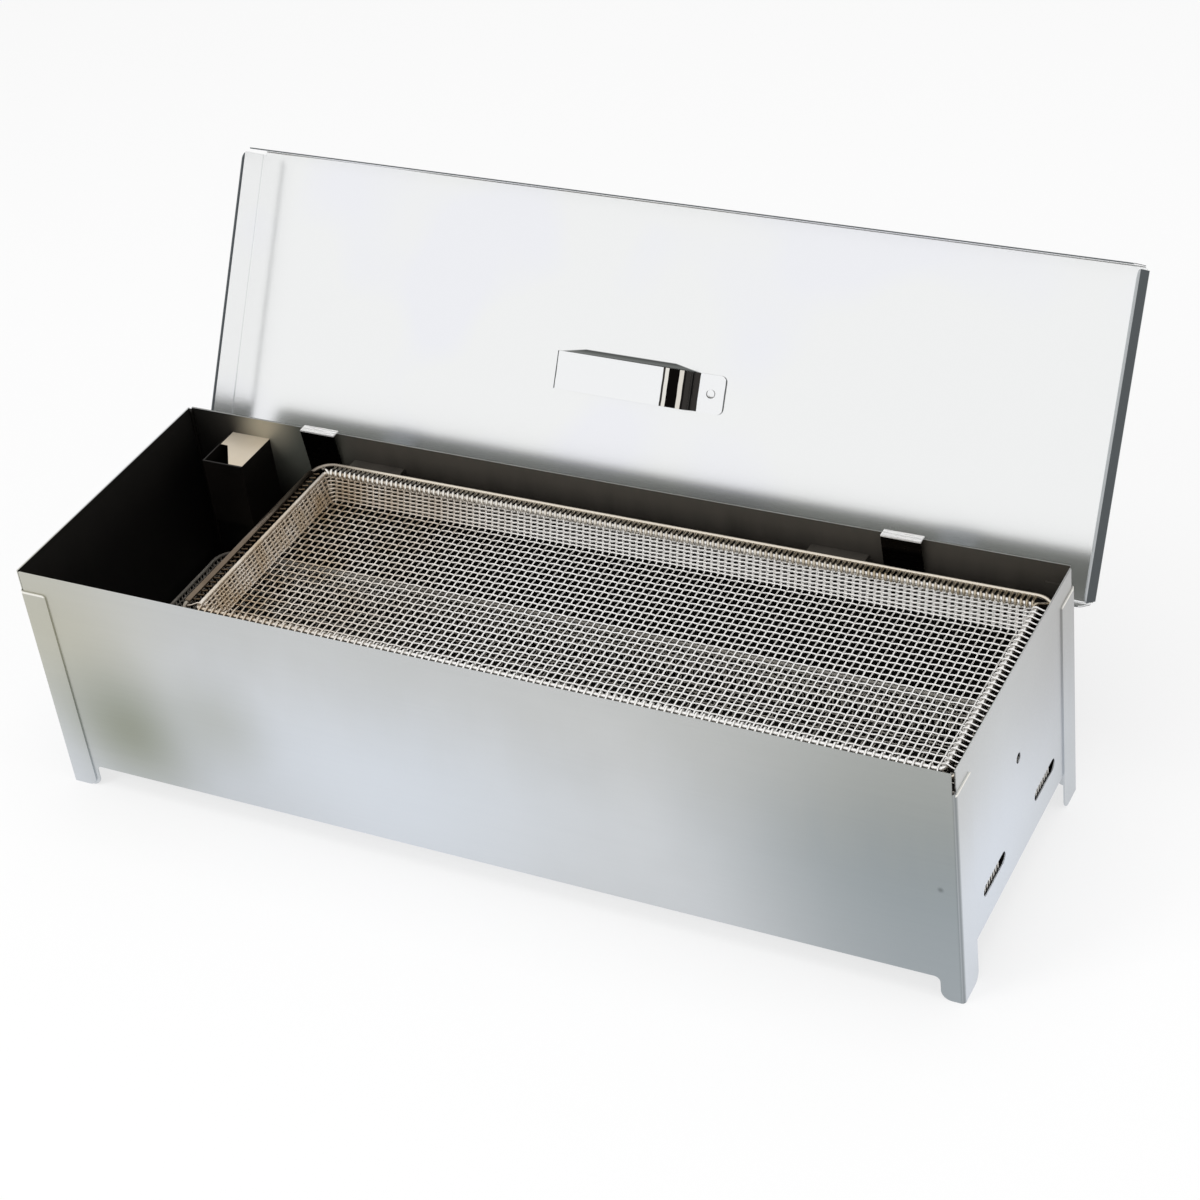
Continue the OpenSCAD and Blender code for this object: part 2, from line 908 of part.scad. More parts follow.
module basket_inner_rod() {
    color(wire)
        translate([basket_x, 0, basket_z])
            rod_frame(basket_hx - basket_inset, basket_hy - basket_inset, basket_round, basket_rod);
}

// flat woven band between the two rim rods
module basket_rim_mesh() {
    color(wire)
        translate([basket_x, 0, basket_z - mesh_wire / 2])
            linear_extrude(mesh_wire)
                difference() {
                    round_rect_2d(basket_hx - basket_rod, basket_hy - basket_rod,
                        basket_outer_round - basket_rod);
                    round_rect_2d(basket_hx - basket_inset, basket_hy - basket_inset, basket_round);
                }
}

module basket_side_mesh() {
    color(wire)
        translate([basket_x, 0, 0])
            sloped_sides(basket_side_hx, basket_side_hy, basket_z - basket_rod / 2,
                basket_base_hx, basket_base_hy, basket_floor_z + mesh_wire, basket_side_round);
}

module basket_floor_mesh() {
    color(wire)
        translate([basket_x, 0, basket_floor_z])
            linear_extrude(mesh_wire)
                net_2d(basket_base_hx, basket_base_hy, basket_side_round, basket_cells_x, basket_cells_y);
}

// sawdust tray

module tray_rim_rod() {
    color(wire)
        translate([0, 0, tray_z])
            rod_frame(tray_hx, tray_hy, tray_round, tray_rod);
}

module tray_side_mesh() {
    color(wire)
        sloped_sides(tray_side_hx, tray_side_hy, tray_z - tray_rod / 2,
            tray_base_hx, tray_base_hy, tray_floor_z + mesh_wire, tray_side_round);
}

module tray_floor_mesh() {
    color(wire)
        translate([0, 0, tray_floor_z])
            linear_extrude(mesh_wire)
                net_2d(tray_base_hx, tray_base_hy, tray_side_round, tray_cells_x, tray_cells_y);
}

front_panel();
back_panel();
left_end_panel();
right_end_panel();
floor_pan();
wall_box();
hinge_strap_left();
hinge_strap_right();
strap_rivets();
hinge_pin_left();
hinge_pin_right();
bracket_front_left();
bracket_front_right();
bracket_back_left();
bracket_back_right();
lid_shell();
hinge_leaf_left();
hinge_leaf_right();
leaf_rivets();
lid_clip();
clip_rivet();
basket_outer_rod();
basket_inner_rod();
basket_rim_mesh();
basket_side_mesh();
basket_floor_mesh();
tray_rim_rod();
tray_side_mesh();
tray_floor_mesh();
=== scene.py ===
# %% [markdown]
# A table-top smokehouse, dressed for its picture.
# The box, lid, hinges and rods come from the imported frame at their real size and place. This lesson gives
# each of them the surface that it has on the real smoker, and weaves the two wire baskets, which the frame
# holds only as plain nets. Lengths are in metres, in the frame's own axes.

# %% Load the frame
import json
import math
from types import SimpleNamespace

import bpy
import numpy as np
from mathutils import Matrix, Vector


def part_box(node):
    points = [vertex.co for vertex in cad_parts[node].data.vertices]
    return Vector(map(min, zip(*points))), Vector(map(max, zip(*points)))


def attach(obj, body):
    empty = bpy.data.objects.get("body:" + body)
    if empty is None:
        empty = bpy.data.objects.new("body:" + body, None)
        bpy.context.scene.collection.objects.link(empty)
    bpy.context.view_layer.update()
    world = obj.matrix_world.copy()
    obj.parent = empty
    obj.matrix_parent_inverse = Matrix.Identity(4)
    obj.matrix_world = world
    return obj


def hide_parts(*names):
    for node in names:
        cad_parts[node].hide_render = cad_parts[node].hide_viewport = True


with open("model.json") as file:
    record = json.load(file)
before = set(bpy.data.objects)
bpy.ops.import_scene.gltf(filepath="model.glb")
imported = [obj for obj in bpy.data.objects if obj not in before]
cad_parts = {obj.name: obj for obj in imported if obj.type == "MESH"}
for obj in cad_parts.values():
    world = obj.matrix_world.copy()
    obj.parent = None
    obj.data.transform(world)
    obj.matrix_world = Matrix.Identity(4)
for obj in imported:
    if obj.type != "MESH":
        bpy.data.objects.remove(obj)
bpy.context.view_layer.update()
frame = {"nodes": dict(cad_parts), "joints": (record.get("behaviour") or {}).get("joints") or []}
MM = 0.001

# %% [markdown]
# The camera stands to the right of the front, well above the rim, and looks down into the open box. A long
# lens keeps the box's edges nearly parallel. Its place, its aim and the direction that points to the top of
# the picture were found from the corners of the body, so a slight roll of the picture is part of them.

# %% Camera
camera_place = Vector((0.7585, -1.1887, 1.1569))
camera_aim = Vector((-0.4152, 0.6981, -0.5833)).normalized()
picture_top = Vector((-0.1789, 0.5661, 0.8047))
sensor_mm = 36
lens_mm = 81.4

picture_right = camera_aim.cross(picture_top).normalized()
picture_top = picture_right.cross(camera_aim)
camera = bpy.data.objects.new("camera", bpy.data.cameras.new("camera"))
camera.data.sensor_width = sensor_mm
camera.data.lens = lens_mm
camera.matrix_world = Matrix.Translation(camera_place) @ Matrix(
    (picture_right, picture_top, -camera_aim)).transposed().to_4x4()
bpy.context.scene.collection.objects.link(camera)
bpy.context.scene.camera = camera
bpy.context.scene.view_settings.view_transform = "Standard"
print("camera:", round(camera_place.length, 2), "m from the middle of the feet")

# %% [markdown]
# Colours are written as they look on a screen, in sRGB hex, and one function turns them into the linear
# numbers that the shader needs. One more function adds a shader node: settings are its own fields or the
# values of its inputs, and links say which outputs feed which inputs. A Mix node takes its share at input 0.
# Two colours are its inputs 6 and 7 and come out at output 2, and two numbers are 2 and 3 and come out at 0.
# Every pattern below gets its scale from a real size, because a noise of scale 1000 / size has blotches
# about that many millimetres wide.

# %% Helpers for colours and shader nodes
def linear(hex_colour):
    """A linear colour from an sRGB hex value."""
    shares = [int(hex_colour[i:i + 2], 16) / 255 for i in (1, 3, 5)]
    return tuple(c / 12.92 if c <= 0.04045 else ((c + 0.055) / 1.055) ** 2.4 for c in shares) + (1.0,)


def add_node(tree, kind, settings=None, links=None):
    """One shader node with its settings and links."""
    node = tree.nodes.new(kind)
    for key, value in (settings or {}).items():
        if isinstance(key, str) and hasattr(node, key):
            setattr(node, key, value)
        else:
            node.inputs[key].default_value = value
    for key, output in (links or {}).items():
        tree.links.new(output, node.inputs[key])
    return node


def new_finish(name):
    """An empty metal finish: the material, its node tree, its shader and the place on the object."""
    made = bpy.data.materials.new(name)
    made.use_nodes = True
    tree = made.node_tree
    shader = tree.nodes["Principled BSDF"]
    shader.inputs["Metallic"].default_value = 1.0
    place = add_node(tree, "ShaderNodeTexCoord").outputs["Object"]
    return made, tree, shader, place


def per_mm(size_mm):
    """Noise scale for blotches of about this size."""
    return 1 / (size_mm * MM)


print("white is", linear("#ffffff"))

# %% [markdown]
# The studio is a pale floor that runs on past the picture, with a white surround. Brighter lamps would make
# both white, but they would burn out the steel. So the floor glows for the camera and for reflections, and
# the surround is whiter for them than for the light that it gives: the floor reads as white paper, and the
# steel has something white to show. Nearly a third of the floor that is seen is still lit paper, and there
# the smoker's shadow stays.

# %% White floor
floor_half = 30.0
floor_glow = 0.7


def seen_share(tree):
    """1 for light that reaches the camera straight, by a mirror or through glass, and 0 for other light."""
    path = add_node(tree, "ShaderNodeLightPath")
    seen = add_node(tree, "ShaderNodeMath", {"operation": "MAXIMUM"},
                    {0: path.outputs["Is Camera Ray"], 1: path.outputs["Is Glossy Ray"]})
    seen = add_node(tree, "ShaderNodeMath", {"operation": "MAXIMUM"},
                    {0: seen.outputs[0], 1: path.outputs["Is Transmission Ray"]})
    return seen.outputs[0]


floor_mesh = bpy.data.meshes.new("studio_floor")
floor_mesh.from_pydata([(-floor_half, -floor_half, 0), (floor_half, -floor_half, 0),
                        (floor_half, floor_half, 0), (-floor_half, floor_half, 0)], [], [(0, 1, 2, 3)])
floor = bpy.data.objects.new("studio_floor", floor_mesh)
bpy.context.scene.collection.objects.link(floor)

paper = bpy.data.materials.new("matt white studio paper")
paper.use_nodes = True
tree = paper.node_tree
matt = tree.nodes["Principled BSDF"]
matt.inputs["Base Color"].default_value = linear("#f6f6f6")
matt.inputs["Roughness"].default_value = 0.9
share = add_node(tree, "ShaderNodeMath", {"operation": "MULTIPLY", 1: floor_glow}, {0: seen_share(tree)})
glow = add_node(tree, "ShaderNodeEmission", {"Color": linear("#ffffff"), "Strength": 1.0})
both = add_node(tree, "ShaderNodeMixShader", None,
                {0: share.outputs[0], 1: matt.outputs[0], 2: glow.outputs[0]})
tree.links.new(both.outputs[0], tree.nodes["Material Output"].inputs["Surface"])
floor_mesh.materials.append(paper)
print("floor:", 2 * floor_half, "m wide")

# %% White surround
surround_fill = 0.55

world = bpy.data.worlds.new("white surround")
bpy.context.scene.world = world
world.use_nodes = True
tree = world.node_tree
level = add_node(tree, "ShaderNodeMapRange", {"To Min": surround_fill, "To Max": 1.0},
                 {"Value": seen_share(tree)})
surround = tree.nodes["Background"]
surround.inputs["Color"].default_value = linear("#ffffff")
tree.links.new(level.outputs[0], surround.inputs["Strength"])
print("surround lights the smoker at", surround_fill, "of its white")

# %% [markdown]
# Three large lamps give soft light from the front left, the right and above. They are left out of
# reflections, because bright sheet would show them as burnt-out patches.

# %% Lamps
# name, place, width of the square and power in watts
lamps = (("key_lamp", (-1.5, -2.0, 2.0), 1.2, 22.0),
         ("side_lamp", (2.6, 0.2, 1.4), 1.6, 14.0),
         ("top_lamp", (0.0, -0.2, 3.0), 2.4, 36.0))
for name, place, size, power in lamps:
    lamp = bpy.data.objects.new(name, bpy.data.lights.new(name, "AREA"))
    lamp.data.size = size
    lamp.data.energy = power
    lamp.visible_glossy = False
    lamp.location = place
    lamp.rotation_euler = (-Vector(place)).to_track_quat("-Z", "Y").to_euler()
    bpy.context.scene.collection.objects.link(lamp)
print("studio:", len(lamps), "lamps")

# %% [markdown]
# The body is cold-rolled stainless sheet with its mill finish. Rolling leaves it satin, with broad soft
# clouds where the sheet is a little brighter or duller, and very fine lines along the rolling direction.
# Both belong to the surface rather than to paint, so they change the colour of the metal only slightly and
# its roughness and bump a little more. The same look serves the body and the lid.

# %% Mill finish of rolled sheet
cloud_mm = 140
tint_mm = 320
line_mm = 1.6          # real rolling lines are about 0.1 mm apart, too fine for the picture
line_run_mm = 90
line_depth = 0.02 * MM


def mill_finish(tree, place, light, shade, tint):
    """Clouded colour, roughness and bump of rolled sheet, as three outputs."""
    clouds = add_node(tree, "ShaderNodeTexNoise", {"Scale": per_mm(cloud_mm), "Detail": 3.0},
                      {"Vector": place})
    cloud = add_node(tree, "ShaderNodeMapRange", {"From Min": 0.35, "From Max": 0.65},
                     {"Value": clouds.outputs["Fac"]})
    base = add_node(tree, "ShaderNodeMix", {"data_type": "RGBA", 6: linear(shade), 7: linear(light)},
                    {0: cloud.outputs[0]})
    tints = add_node(tree, "ShaderNodeTexNoise", {"Scale": per_mm(tint_mm), "Detail": 1.0},
                     {"Vector": place})
    tinge = add_node(tree, "ShaderNodeMapRange", {"From Min": 0.45, "From Max": 0.7, "To Max": 0.5},
                     {"Value": tints.outputs["Fac"]})
    colour = add_node(tree, "ShaderNodeMix", {"data_type": "RGBA", 7: linear(tint)},
                      {0: tinge.outputs[0], 6: base.outputs[2]})
    stretch = add_node(tree, "ShaderNodeMapping", {"Scale": (line_mm / line_run_mm, 1.0, 1.0)},
                       {"Vector": place})
    lines = add_node(tree, "ShaderNodeTexNoise", {"Scale": per_mm(line_mm), "Detail": 4.0},
                     {"Vector": stretch.outputs[0]})
    rough = add_node(tree, "ShaderNodeMapRange", {"To Min": 0.30, "To Max": 0.46},
                     {"Value": lines.outputs["Fac"]})
    relief = add_node(tree, "ShaderNodeBump", {"Strength": 0.12, "Distance": line_depth},
                      {"Height": lines.outputs["Fac"]})
    return colour.outputs[2], rough.outputs[0], relief.outputs[0]


print("clouds", cloud_mm, "mm, lines", line_mm, "mm")

# %% [markdown]
# Outside, the body carries large soft spots of painted reflection and shade: the front is straw-coloured and
# darker at its left end, brighter and bluish low in the middle and darker grey at its upper right, and the
# right end is painted lighter and bluish. Noise would put such spots anywhere, so each is a soft spot round a
# point, laid one over the other.

# %% Painted light and shade on the body
rim_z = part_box("back_panel")[1].z
floor_low, floor_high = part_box("floor_pan")
front_y, end_x = floor_low.y, floor_high.x
skin = 0.3 * MM            # room for rounding where a point is tested against a face
# the front's spots are painted reflection and shade, except the last, tiny dark one, a speck; the right end's
# are painted light
# middle, reach in millimetres, colour and share in the middle
front_painted_light_and_speck = (((-0.31, front_y, 0.14), 130, "#bdbcac", 0.9),
               ((-0.265, front_y, 0.06), 85, "#979b8e", 0.95),
               ((-0.06, front_y, 0.04), 200, "#dce2ea", 0.75),
               ((0.32, front_y, 0.13), 220, "#858d8e", 0.95),
               ((0.34, front_y, 0.02), 220, "#9ba3a8", 0.75),
               ((-0.19, front_y, 0.085), 60, "#b1b4ae", 0.6),
               ((0.314, front_y, 0.088), 3, "#5b6163", 0.9))
end_painted_light = (((end_x, -0.05, 0.06), 170, "#dfe5ee", 0.95),
             ((end_x, 0.10, 0.17), 150, "#adaeb1", 0.85))


def soft_spot(tree, place, middle, reach_mm, most):
    """A share that is highest at a place and fades to nothing at its reach."""
    away = add_node(tree, "ShaderNodeVectorMath", {"operation": "DISTANCE", 1: middle}, {0: place})
    share = add_node(tree, "ShaderNodeMapRange",
                     {"interpolation_type": "SMOOTHSTEP", "From Min": reach_mm * MM, "From Max": 0.0,
                      "To Max": most}, {"Value": away.outputs["Value"]})
    return share.outputs[0]


def painted_spots(tree, place, colour, marks):
    """A colour with soft spots of painted light and shade over it."""
    for middle, reach_mm, mark, most in marks:
        share = soft_spot(tree, place, middle, reach_mm, most)
        colour = add_node(tree, "ShaderNodeMix", {"data_type": "RGBA", 7: linear(mark)},
                          {0: share, 6: colour}).outputs[2]
    return colour


body_steel, tree, shader, place = new_finish("cold-rolled stainless sheet, mill finish, smoked inside")
colour, rough, relief = mill_finish(tree, place, "#d4d8dd", "#c8ccd0", "#c6c7c5")
front = painted_spots(tree, place, colour, front_painted_light_and_speck)
end = painted_spots(tree, place, colour, end_painted_light)
spot = add_node(tree, "ShaderNodeSeparateXYZ", None, {0: place})
on_end = add_node(tree, "ShaderNodeMath", {"operation": "GREATER_THAN", 1: end_x + skin},
                  {0: spot.outputs["X"]})
sheet = add_node(tree, "ShaderNodeMix", {"data_type": "RGBA"}, {0: on_end.outputs[0], 6: front, 7: end})
print("marks:", len(front_painted_light_and_speck), "on the front,", len(end_painted_light), "on the right end")

# %% [markdown]
# Heat has tinted the sheet faintly towards the rim, in hanging streaks. A painted highlight runs along the
# upper edges of the corner flanges, and a painted shade line runs down the bend of the front right corner.
# The upper part of the back is darkened with painted shade, and the foot of the open lid mirrors that.

# %% Edges and painted shade on the back
streak_mm = 14
streak_stretch = 0.15      # streaks hang about seven times as long as they are wide
streak_wander = 12 * MM
stain_and_shade_from = rim_z - 110 * MM
back_shade_full = rim_z - 45 * MM
fold_place = (end_x + 2 * MM, front_y - 1 * MM, 0)
fold_mm = 3.2
flange_top = rim_z - 15 * MM
flange_off = 1.3 * MM      # only the flanges lie further out than this
highlight = 1.6 * MM

hang = add_node(tree, "ShaderNodeMapping", {"Scale": (1.0, 1.0, streak_stretch)}, {"Vector": place})
streaks = add_node(tree, "ShaderNodeTexNoise", {"Scale": per_mm(streak_mm), "Detail": 3.0},
                   {"Vector": hang.outputs[0]})
wander = add_node(tree, "ShaderNodeMapRange", {"To Min": -streak_wander, "To Max": streak_wander},
                  {"Value": streaks.outputs["Fac"]})
height = add_node(tree, "ShaderNodeMath", {"operation": "ADD"}, {0: spot.outputs["Z"], 1: wander.outputs[0]})
warmth = add_node(tree, "ShaderNodeMapRange",
                  {"interpolation_type": "SMOOTHSTEP", "From Min": stain_and_shade_from, "From Max": rim_z,
                   "To Max": 0.35}, {"Value": height.outputs[0]})
flat = add_node(tree, "ShaderNodeMapping", {"Scale": (1.0, 1.0, 0.0)}, {"Vector": place})
fold_shade = soft_spot(tree, flat.outputs[0], fold_place, fold_mm, 1.0)
off_y = add_node(tree, "ShaderNodeMath", {"operation": "ABSOLUTE"}, {0: spot.outputs["Y"]})
out_y = add_node(tree, "ShaderNodeMath", {"operation": "GREATER_THAN", 1: floor_high.y + flange_off},
                 {0: off_y.outputs[0]})
out_x = add_node(tree, "ShaderNodeMath", {"operation": "GREATER_THAN", 1: end_x + flange_off},
                 {0: spot.outputs["X"]})
on_flange = add_node(tree, "ShaderNodeMath", {"operation": "MAXIMUM"},
                     {0: out_x.outputs[0], 1: out_y.outputs[0]})
lip_highlight = add_node(tree, "ShaderNodeMath", {"operation": "GREATER_THAN", 1: flange_top - highlight},
               {0: spot.outputs["Z"]})
lip_highlight = add_node(tree, "ShaderNodeMath", {"operation": "MULTIPLY"},
               {0: lip_highlight.outputs[0], 1: on_flange.outputs[0]})
behind = add_node(tree, "ShaderNodeMath", {"operation": "GREATER_THAN", 1: floor_high.y + skin},
                  {0: spot.outputs["Y"]})
back_shade = add_node(tree, "ShaderNodeMapRange",
                {"interpolation_type": "SMOOTHSTEP", "From Min": stain_and_shade_from, "From Max": back_shade_full,
                 "To Max": 0.9}, {"Value": height.outputs[0]})
back_shade = add_node(tree, "ShaderNodeMath", {"operation": "MULTIPLY"},
                {0: back_shade.outputs[0], 1: behind.outputs[0]})
clean = sheet.outputs[2]
# warmth is heat tint; fold_shade, lip_highlight and back_shade are painted shade and light
for share, coat in ((warmth.outputs[0], "#bdbab0"), (fold_shade, "#6f7577"), (lip_highlight.outputs[0], "#f1efe8"),
                    (back_shade.outputs[0], "#6c6e68")):
    clean = add_node(tree, "ShaderNodeMix", {"data_type": "RGBA", 7: linear(coat)},
                     {0: share, 6: clean}).outputs[2]
print("streaks", streak_mm, "mm, sheared line", round(highlight / MM, 1), "mm")

# %% [markdown]
# Inside, smoke has left a grey film on the steel just under the rim. Painted shade deepens it to black
# further down and towards the left end, and painted light makes a paler patch and a glint beside the wall
# box. A second material would need the inner faces picked one by one, so the shader asks where a point is
# instead. Whatever lies between the inner faces of the four walls takes the film, except the cut edge of the
# rim, which hands and the lid keep bare.

# %% Smoke film and painted shade inside the body
shade_depth = 52 * MM
left_shade_from, left_shade_full = -0.265, -0.32
# painted light on the back wall: a paler patch and a glint beside the wall box
wall_painted_light = (((-0.235, floor_high.y, rim_z - 10 * MM), 60, "#666860", 1.0),
              ((-0.262, floor_high.y, rim_z), 34, "#c9c1ac", 0.9))

off_x = add_node(tree, "ShaderNodeMath", {"operation": "ABSOLUTE"}, {0: spot.outputs["X"]})
in_x = add_node(tree, "ShaderNodeMath", {"operation": "LESS_THAN", 1: floor_high.x + skin},
                {0: off_x.outputs[0]})
in_y = add_node(tree, "ShaderNodeMath", {"operation": "LESS_THAN", 1: floor_high.y + skin},
                {0: off_y.outputs[0]})
above = add_node(tree, "ShaderNodeMath", {"operation": "GREATER_THAN", 1: floor_low.z + skin},
                 {0: spot.outputs["Z"]})
sunk = add_node(tree, "ShaderNodeMath", {"operation": "LESS_THAN", 1: rim_z - skin}, {0: spot.outputs["Z"]})
smoked = in_x
for limit in (in_y, above, sunk):
    smoked = add_node(tree, "ShaderNodeMath", {"operation": "MULTIPLY"},
                      {0: smoked.outputs[0], 1: limit.outputs[0]})
# painted shade: the film goes black further down
depth = add_node(tree, "ShaderNodeMapRange",
                 {"interpolation_type": "SMOOTHSTEP", "From Min": rim_z, "From Max": rim_z - shade_depth},
                 {"Value": height.outputs[0]})
film_and_shade = add_node(tree, "ShaderNodeMix", {"data_type": "RGBA", 6: linear("#4e4a44"), 7: linear("#0f0d0b")},
                {0: depth.outputs[0]})
# painted shade: black towards the left end
left_end_shade = add_node(tree, "ShaderNodeMapRange",
                 {"interpolation_type": "SMOOTHSTEP", "From Min": left_shade_from, "From Max": left_shade_full,
                  "To Max": 0.9}, {"Value": spot.outputs["X"]})
film_and_shade = add_node(tree, "ShaderNodeMix", {"data_type": "RGBA", 7: linear("#0c0b0a")},
                {0: left_end_shade.outputs[0], 6: painted_spots(tree, place, film_and_shade.outputs[2], wall_painted_light)})
print("painted shade black from", round(shade_depth / MM), "mm under the rim")

# %% Body steel on its panels
body = add_node(tree, "ShaderNodeMix", {"data_type": "RGBA"},
                {0: smoked.outputs[0], 6: clean, 7: film_and_shade.outputs[2]})
bare = add_node(tree, "ShaderNodeMapRange", {"To Min": 1.0, "To Max": 0.35}, {"Value": smoked.outputs[0]})
dull = add_node(tree, "ShaderNodeMix", {"data_type": "FLOAT", 3: 0.5}, {0: smoked.outputs[0], 2: rough})
tree.links.new(body.outputs[2], shader.inputs["Base Color"])
tree.links.new(bare.outputs[0], shader.inputs["Metallic"])
tree.links.new(dull.outputs[0], shader.inputs["Roughness"])
tree.links.new(relief, shader.inputs["Normal"])


def dress(nodes, finish):
    """Gives CAD nodes a finish."""
    for name in nodes:
        slots = frame["nodes"][name].data.materials
        slots.clear()
        slots.append(finish)
    print(finish.name, "on", len(nodes), "nodes")


dress(["front_panel", "back_panel", "left_end_panel", "right_end_panel", "floor_pan",
       "bracket_front_left", "bracket_front_right", "bracket_back_left", "bracket_back_right"], body_steel)

# %% [markdown]
# The lid is thinner sheet, with one finish inside and another outside. It is drawn open, where its sides are
# hard to tell apart by height or depth. So each point is first turned about the hinge to where it lies on the
# closed lid, in the shader as well as here, where the closed lid is measured.

# %% Closed lid
hinge = frame["joints"][0]
lid_turn = math.radians(hinge["range_deg"][1])
hinge_spot = Vector(hinge["pos_m"])


def on_closed_lid(name):
    """Corners of a lid node, turned about the hinge to where they lie on the closed lid."""
    points = np.array([v.co for v in frame["nodes"][name].data.vertices])
    arm_y, arm_z = points[:, 1] - hinge_spot.y, points[:, 2] - hinge_spot.z
    points[:, 1] = hinge_spot.y + arm_y * math.cos(lid_turn) - arm_z * math.sin(lid_turn)
    points[:, 2] = hinge_spot.z + arm_y * math.sin(lid_turn) + arm_z * math.cos(lid_turn)
    return points


lid_corners = on_closed_lid("lid_shell")
lid_half_x, lid_half_y, lid_top = lid_corners.max(axis=0)
lid_low = lid_corners[:, 2].min()
print("closed lid:", round(2 * lid_half_x / MM), "x", round(2 * lid_half_y / MM), "mm")

# %% Sides of the lid sheet
lid_sheet = 0.8 * MM
skirt_from = lid_top - 2.4 * MM

lid_steel, tree, shader, place = new_finish("thin rolled stainless sheet, bright inside")
satin, rough, relief = mill_finish(tree, place, "#a4a8aa", "#989c9e", "#9a9d9b")
shut = add_node(tree, "ShaderNodeVectorRotate",
                {"rotation_type": "X_AXIS", "Center": hinge_spot, "Angle": lid_turn}, {"Vector": place})
spot = add_node(tree, "ShaderNodeSeparateXYZ", None, {0: shut.outputs[0]})
off_x = add_node(tree, "ShaderNodeMath", {"operation": "ABSOLUTE"}, {0: spot.outputs["X"]})
off_y = add_node(tree, "ShaderNodeMath", {"operation": "ABSOLUTE"}, {0: spot.outputs["Y"]})
in_x = add_node(tree, "ShaderNodeMath", {"operation": "LESS_THAN", 1: lid_half_x - lid_sheet / 2},
                {0: off_x.outputs[0]})
in_y = add_node(tree, "ShaderNodeMath", {"operation": "LESS_THAN", 1: lid_half_y - lid_sheet / 2},
                {0: off_y.outputs[0]})
under = add_node(tree, "ShaderNodeMath", {"operation": "LESS_THAN", 1: lid_top - lid_sheet / 2},
                 {0: spot.outputs["Z"]})
inner = in_x
for limit in (in_y, under):
    inner = add_node(tree, "ShaderNodeMath", {"operation": "MULTIPLY"},
                     {0: inner.outputs[0], 1: limit.outputs[0]})
skirt = add_node(tree, "ShaderNodeMath", {"operation": "LESS_THAN", 1: skirt_from}, {0: spot.outputs["Z"]})
print("skirts:", round((skirt_from - lid_low) / MM, 1), "mm deep")

# %% [markdown]
# The inside of the lid is kept bright, and reflects the white studio almost like a mirror gone slightly
# milky, with faint lilac patches. The inner faces of the skirts are given pure white as painted light.
# Along the upper edge of the raised strip in the lid lies a dark wedge of painted shadow: it rises
# from the strip's left end, keeps its height, and falls again to the strip's bend.

# %% Inside of the lid
patch_mm = 110
clip_low, clip_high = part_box("lid_clip")
clip_edge = on_closed_lid("lid_clip")[:, 1].min()
bend_end = clip_high.x - 19 * MM
wedge_tall = 3.8 * MM
wedge_full_from, wedge_full_to = -50 * MM, 18 * MM
wedge_soft = 0.8 * MM
wedge_covered = 4 * MM     # how far the wedge runs on behind the strip

patches = add_node(tree, "ShaderNodeTexNoise", {"Scale": per_mm(patch_mm), "Detail": 1.0}, {"Vector": place})
lilac = add_node(tree, "ShaderNodeMapRange", {"From Min": 0.5, "From Max": 0.62},
                 {"Value": patches.outputs["Fac"]})
bright = add_node(tree, "ShaderNodeMix", {"data_type": "RGBA", 6: linear("#f0f1f1"), 7: linear("#eeeff3")},
                  {0: lilac.outputs[0]})
rises = add_node(tree, "ShaderNodeMapRange",
                 {"From Min": clip_low.x, "From Max": wedge_full_from, "To Max": wedge_tall},
                 {"Value": spot.outputs["X"]})
falls = add_node(tree, "ShaderNodeMapRange",
                 {"From Min": bend_end, "From Max": wedge_full_to, "To Max": wedge_tall},
                 {"Value": spot.outputs["X"]})
tall = add_node(tree, "ShaderNodeMath", {"operation": "MINIMUM"}, {0: rises.outputs[0], 1: falls.outputs[0]})
up = add_node(tree, "ShaderNodeMath", {"operation": "ADD"}, {0: spot.outputs["Y"], 1: tall.outputs[0]})
wedge = add_node(tree, "ShaderNodeMapRange",
                 {"interpolation_type": "SMOOTHSTEP", "From Min": clip_edge,
                  "From Max": clip_edge + wedge_soft}, {"Value": up.outputs[0]})
below = add_node(tree, "ShaderNodeMath", {"operation": "LESS_THAN", 1: clip_edge + wedge_covered},
                 {0: spot.outputs["Y"]})
begun = add_node(tree, "ShaderNodeMath", {"operation": "GREATER_THAN", 1: clip_low.x}, {0: spot.outputs["X"]})
short = add_node(tree, "ShaderNodeMath", {"operation": "LESS_THAN", 1: bend_end}, {0: spot.outputs["X"]})
for limit in (below, short, begun):
    wedge = add_node(tree, "ShaderNodeMath", {"operation": "MULTIPLY"},
                     {0: wedge.outputs[0], 1: limit.outputs[0]})
# painted shadow above the strip, darker towards its top
wedge_falloff = add_node(tree, "ShaderNodeMapRange", {"From Min": clip_edge, "From Max": clip_edge - wedge_tall},
                  {"Value": spot.outputs["Y"]})
soot_and_shade = add_node(tree, "ShaderNodeMix", {"data_type": "RGBA", 6: linear("#7f8280"), 7: linear("#303231")},
                {0: wedge_falloff.outputs[0]})
bright = add_node(tree, "ShaderNodeMix", {"data_type": "RGBA"},
                  {0: wedge.outputs[0], 6: bright.outputs[2], 7: soot_and_shade.outputs[2]})
# painted light: the skirts' inner faces pure white
bright = add_node(tree, "ShaderNodeMix", {"data_type": "RGBA", 7: linear("#ffffff")},
                  {0: skirt.outputs[0], 6: bright.outputs[2]})
print("wedge of painted shadow:", round(wedge_tall / MM, 1), "mm tall")

# %% [markdown]
# Outside, the top of the lid is satin like the body, and the skirts have gone duller and darker, with painted
# shade that grows towards the right. Their free edges carry a painted shade line too, except for the right
# one, which has a painted highlight. A dull film hides the metal, so it is less metallic and rougher.

# %% Outside of the lid
right_shade_from, right_shade_full = lid_half_x - 60 * MM, lid_half_x - 10 * MM
hem_from = lid_low + 2.2 * MM
highlight_from = lid_low + 4.2 * MM
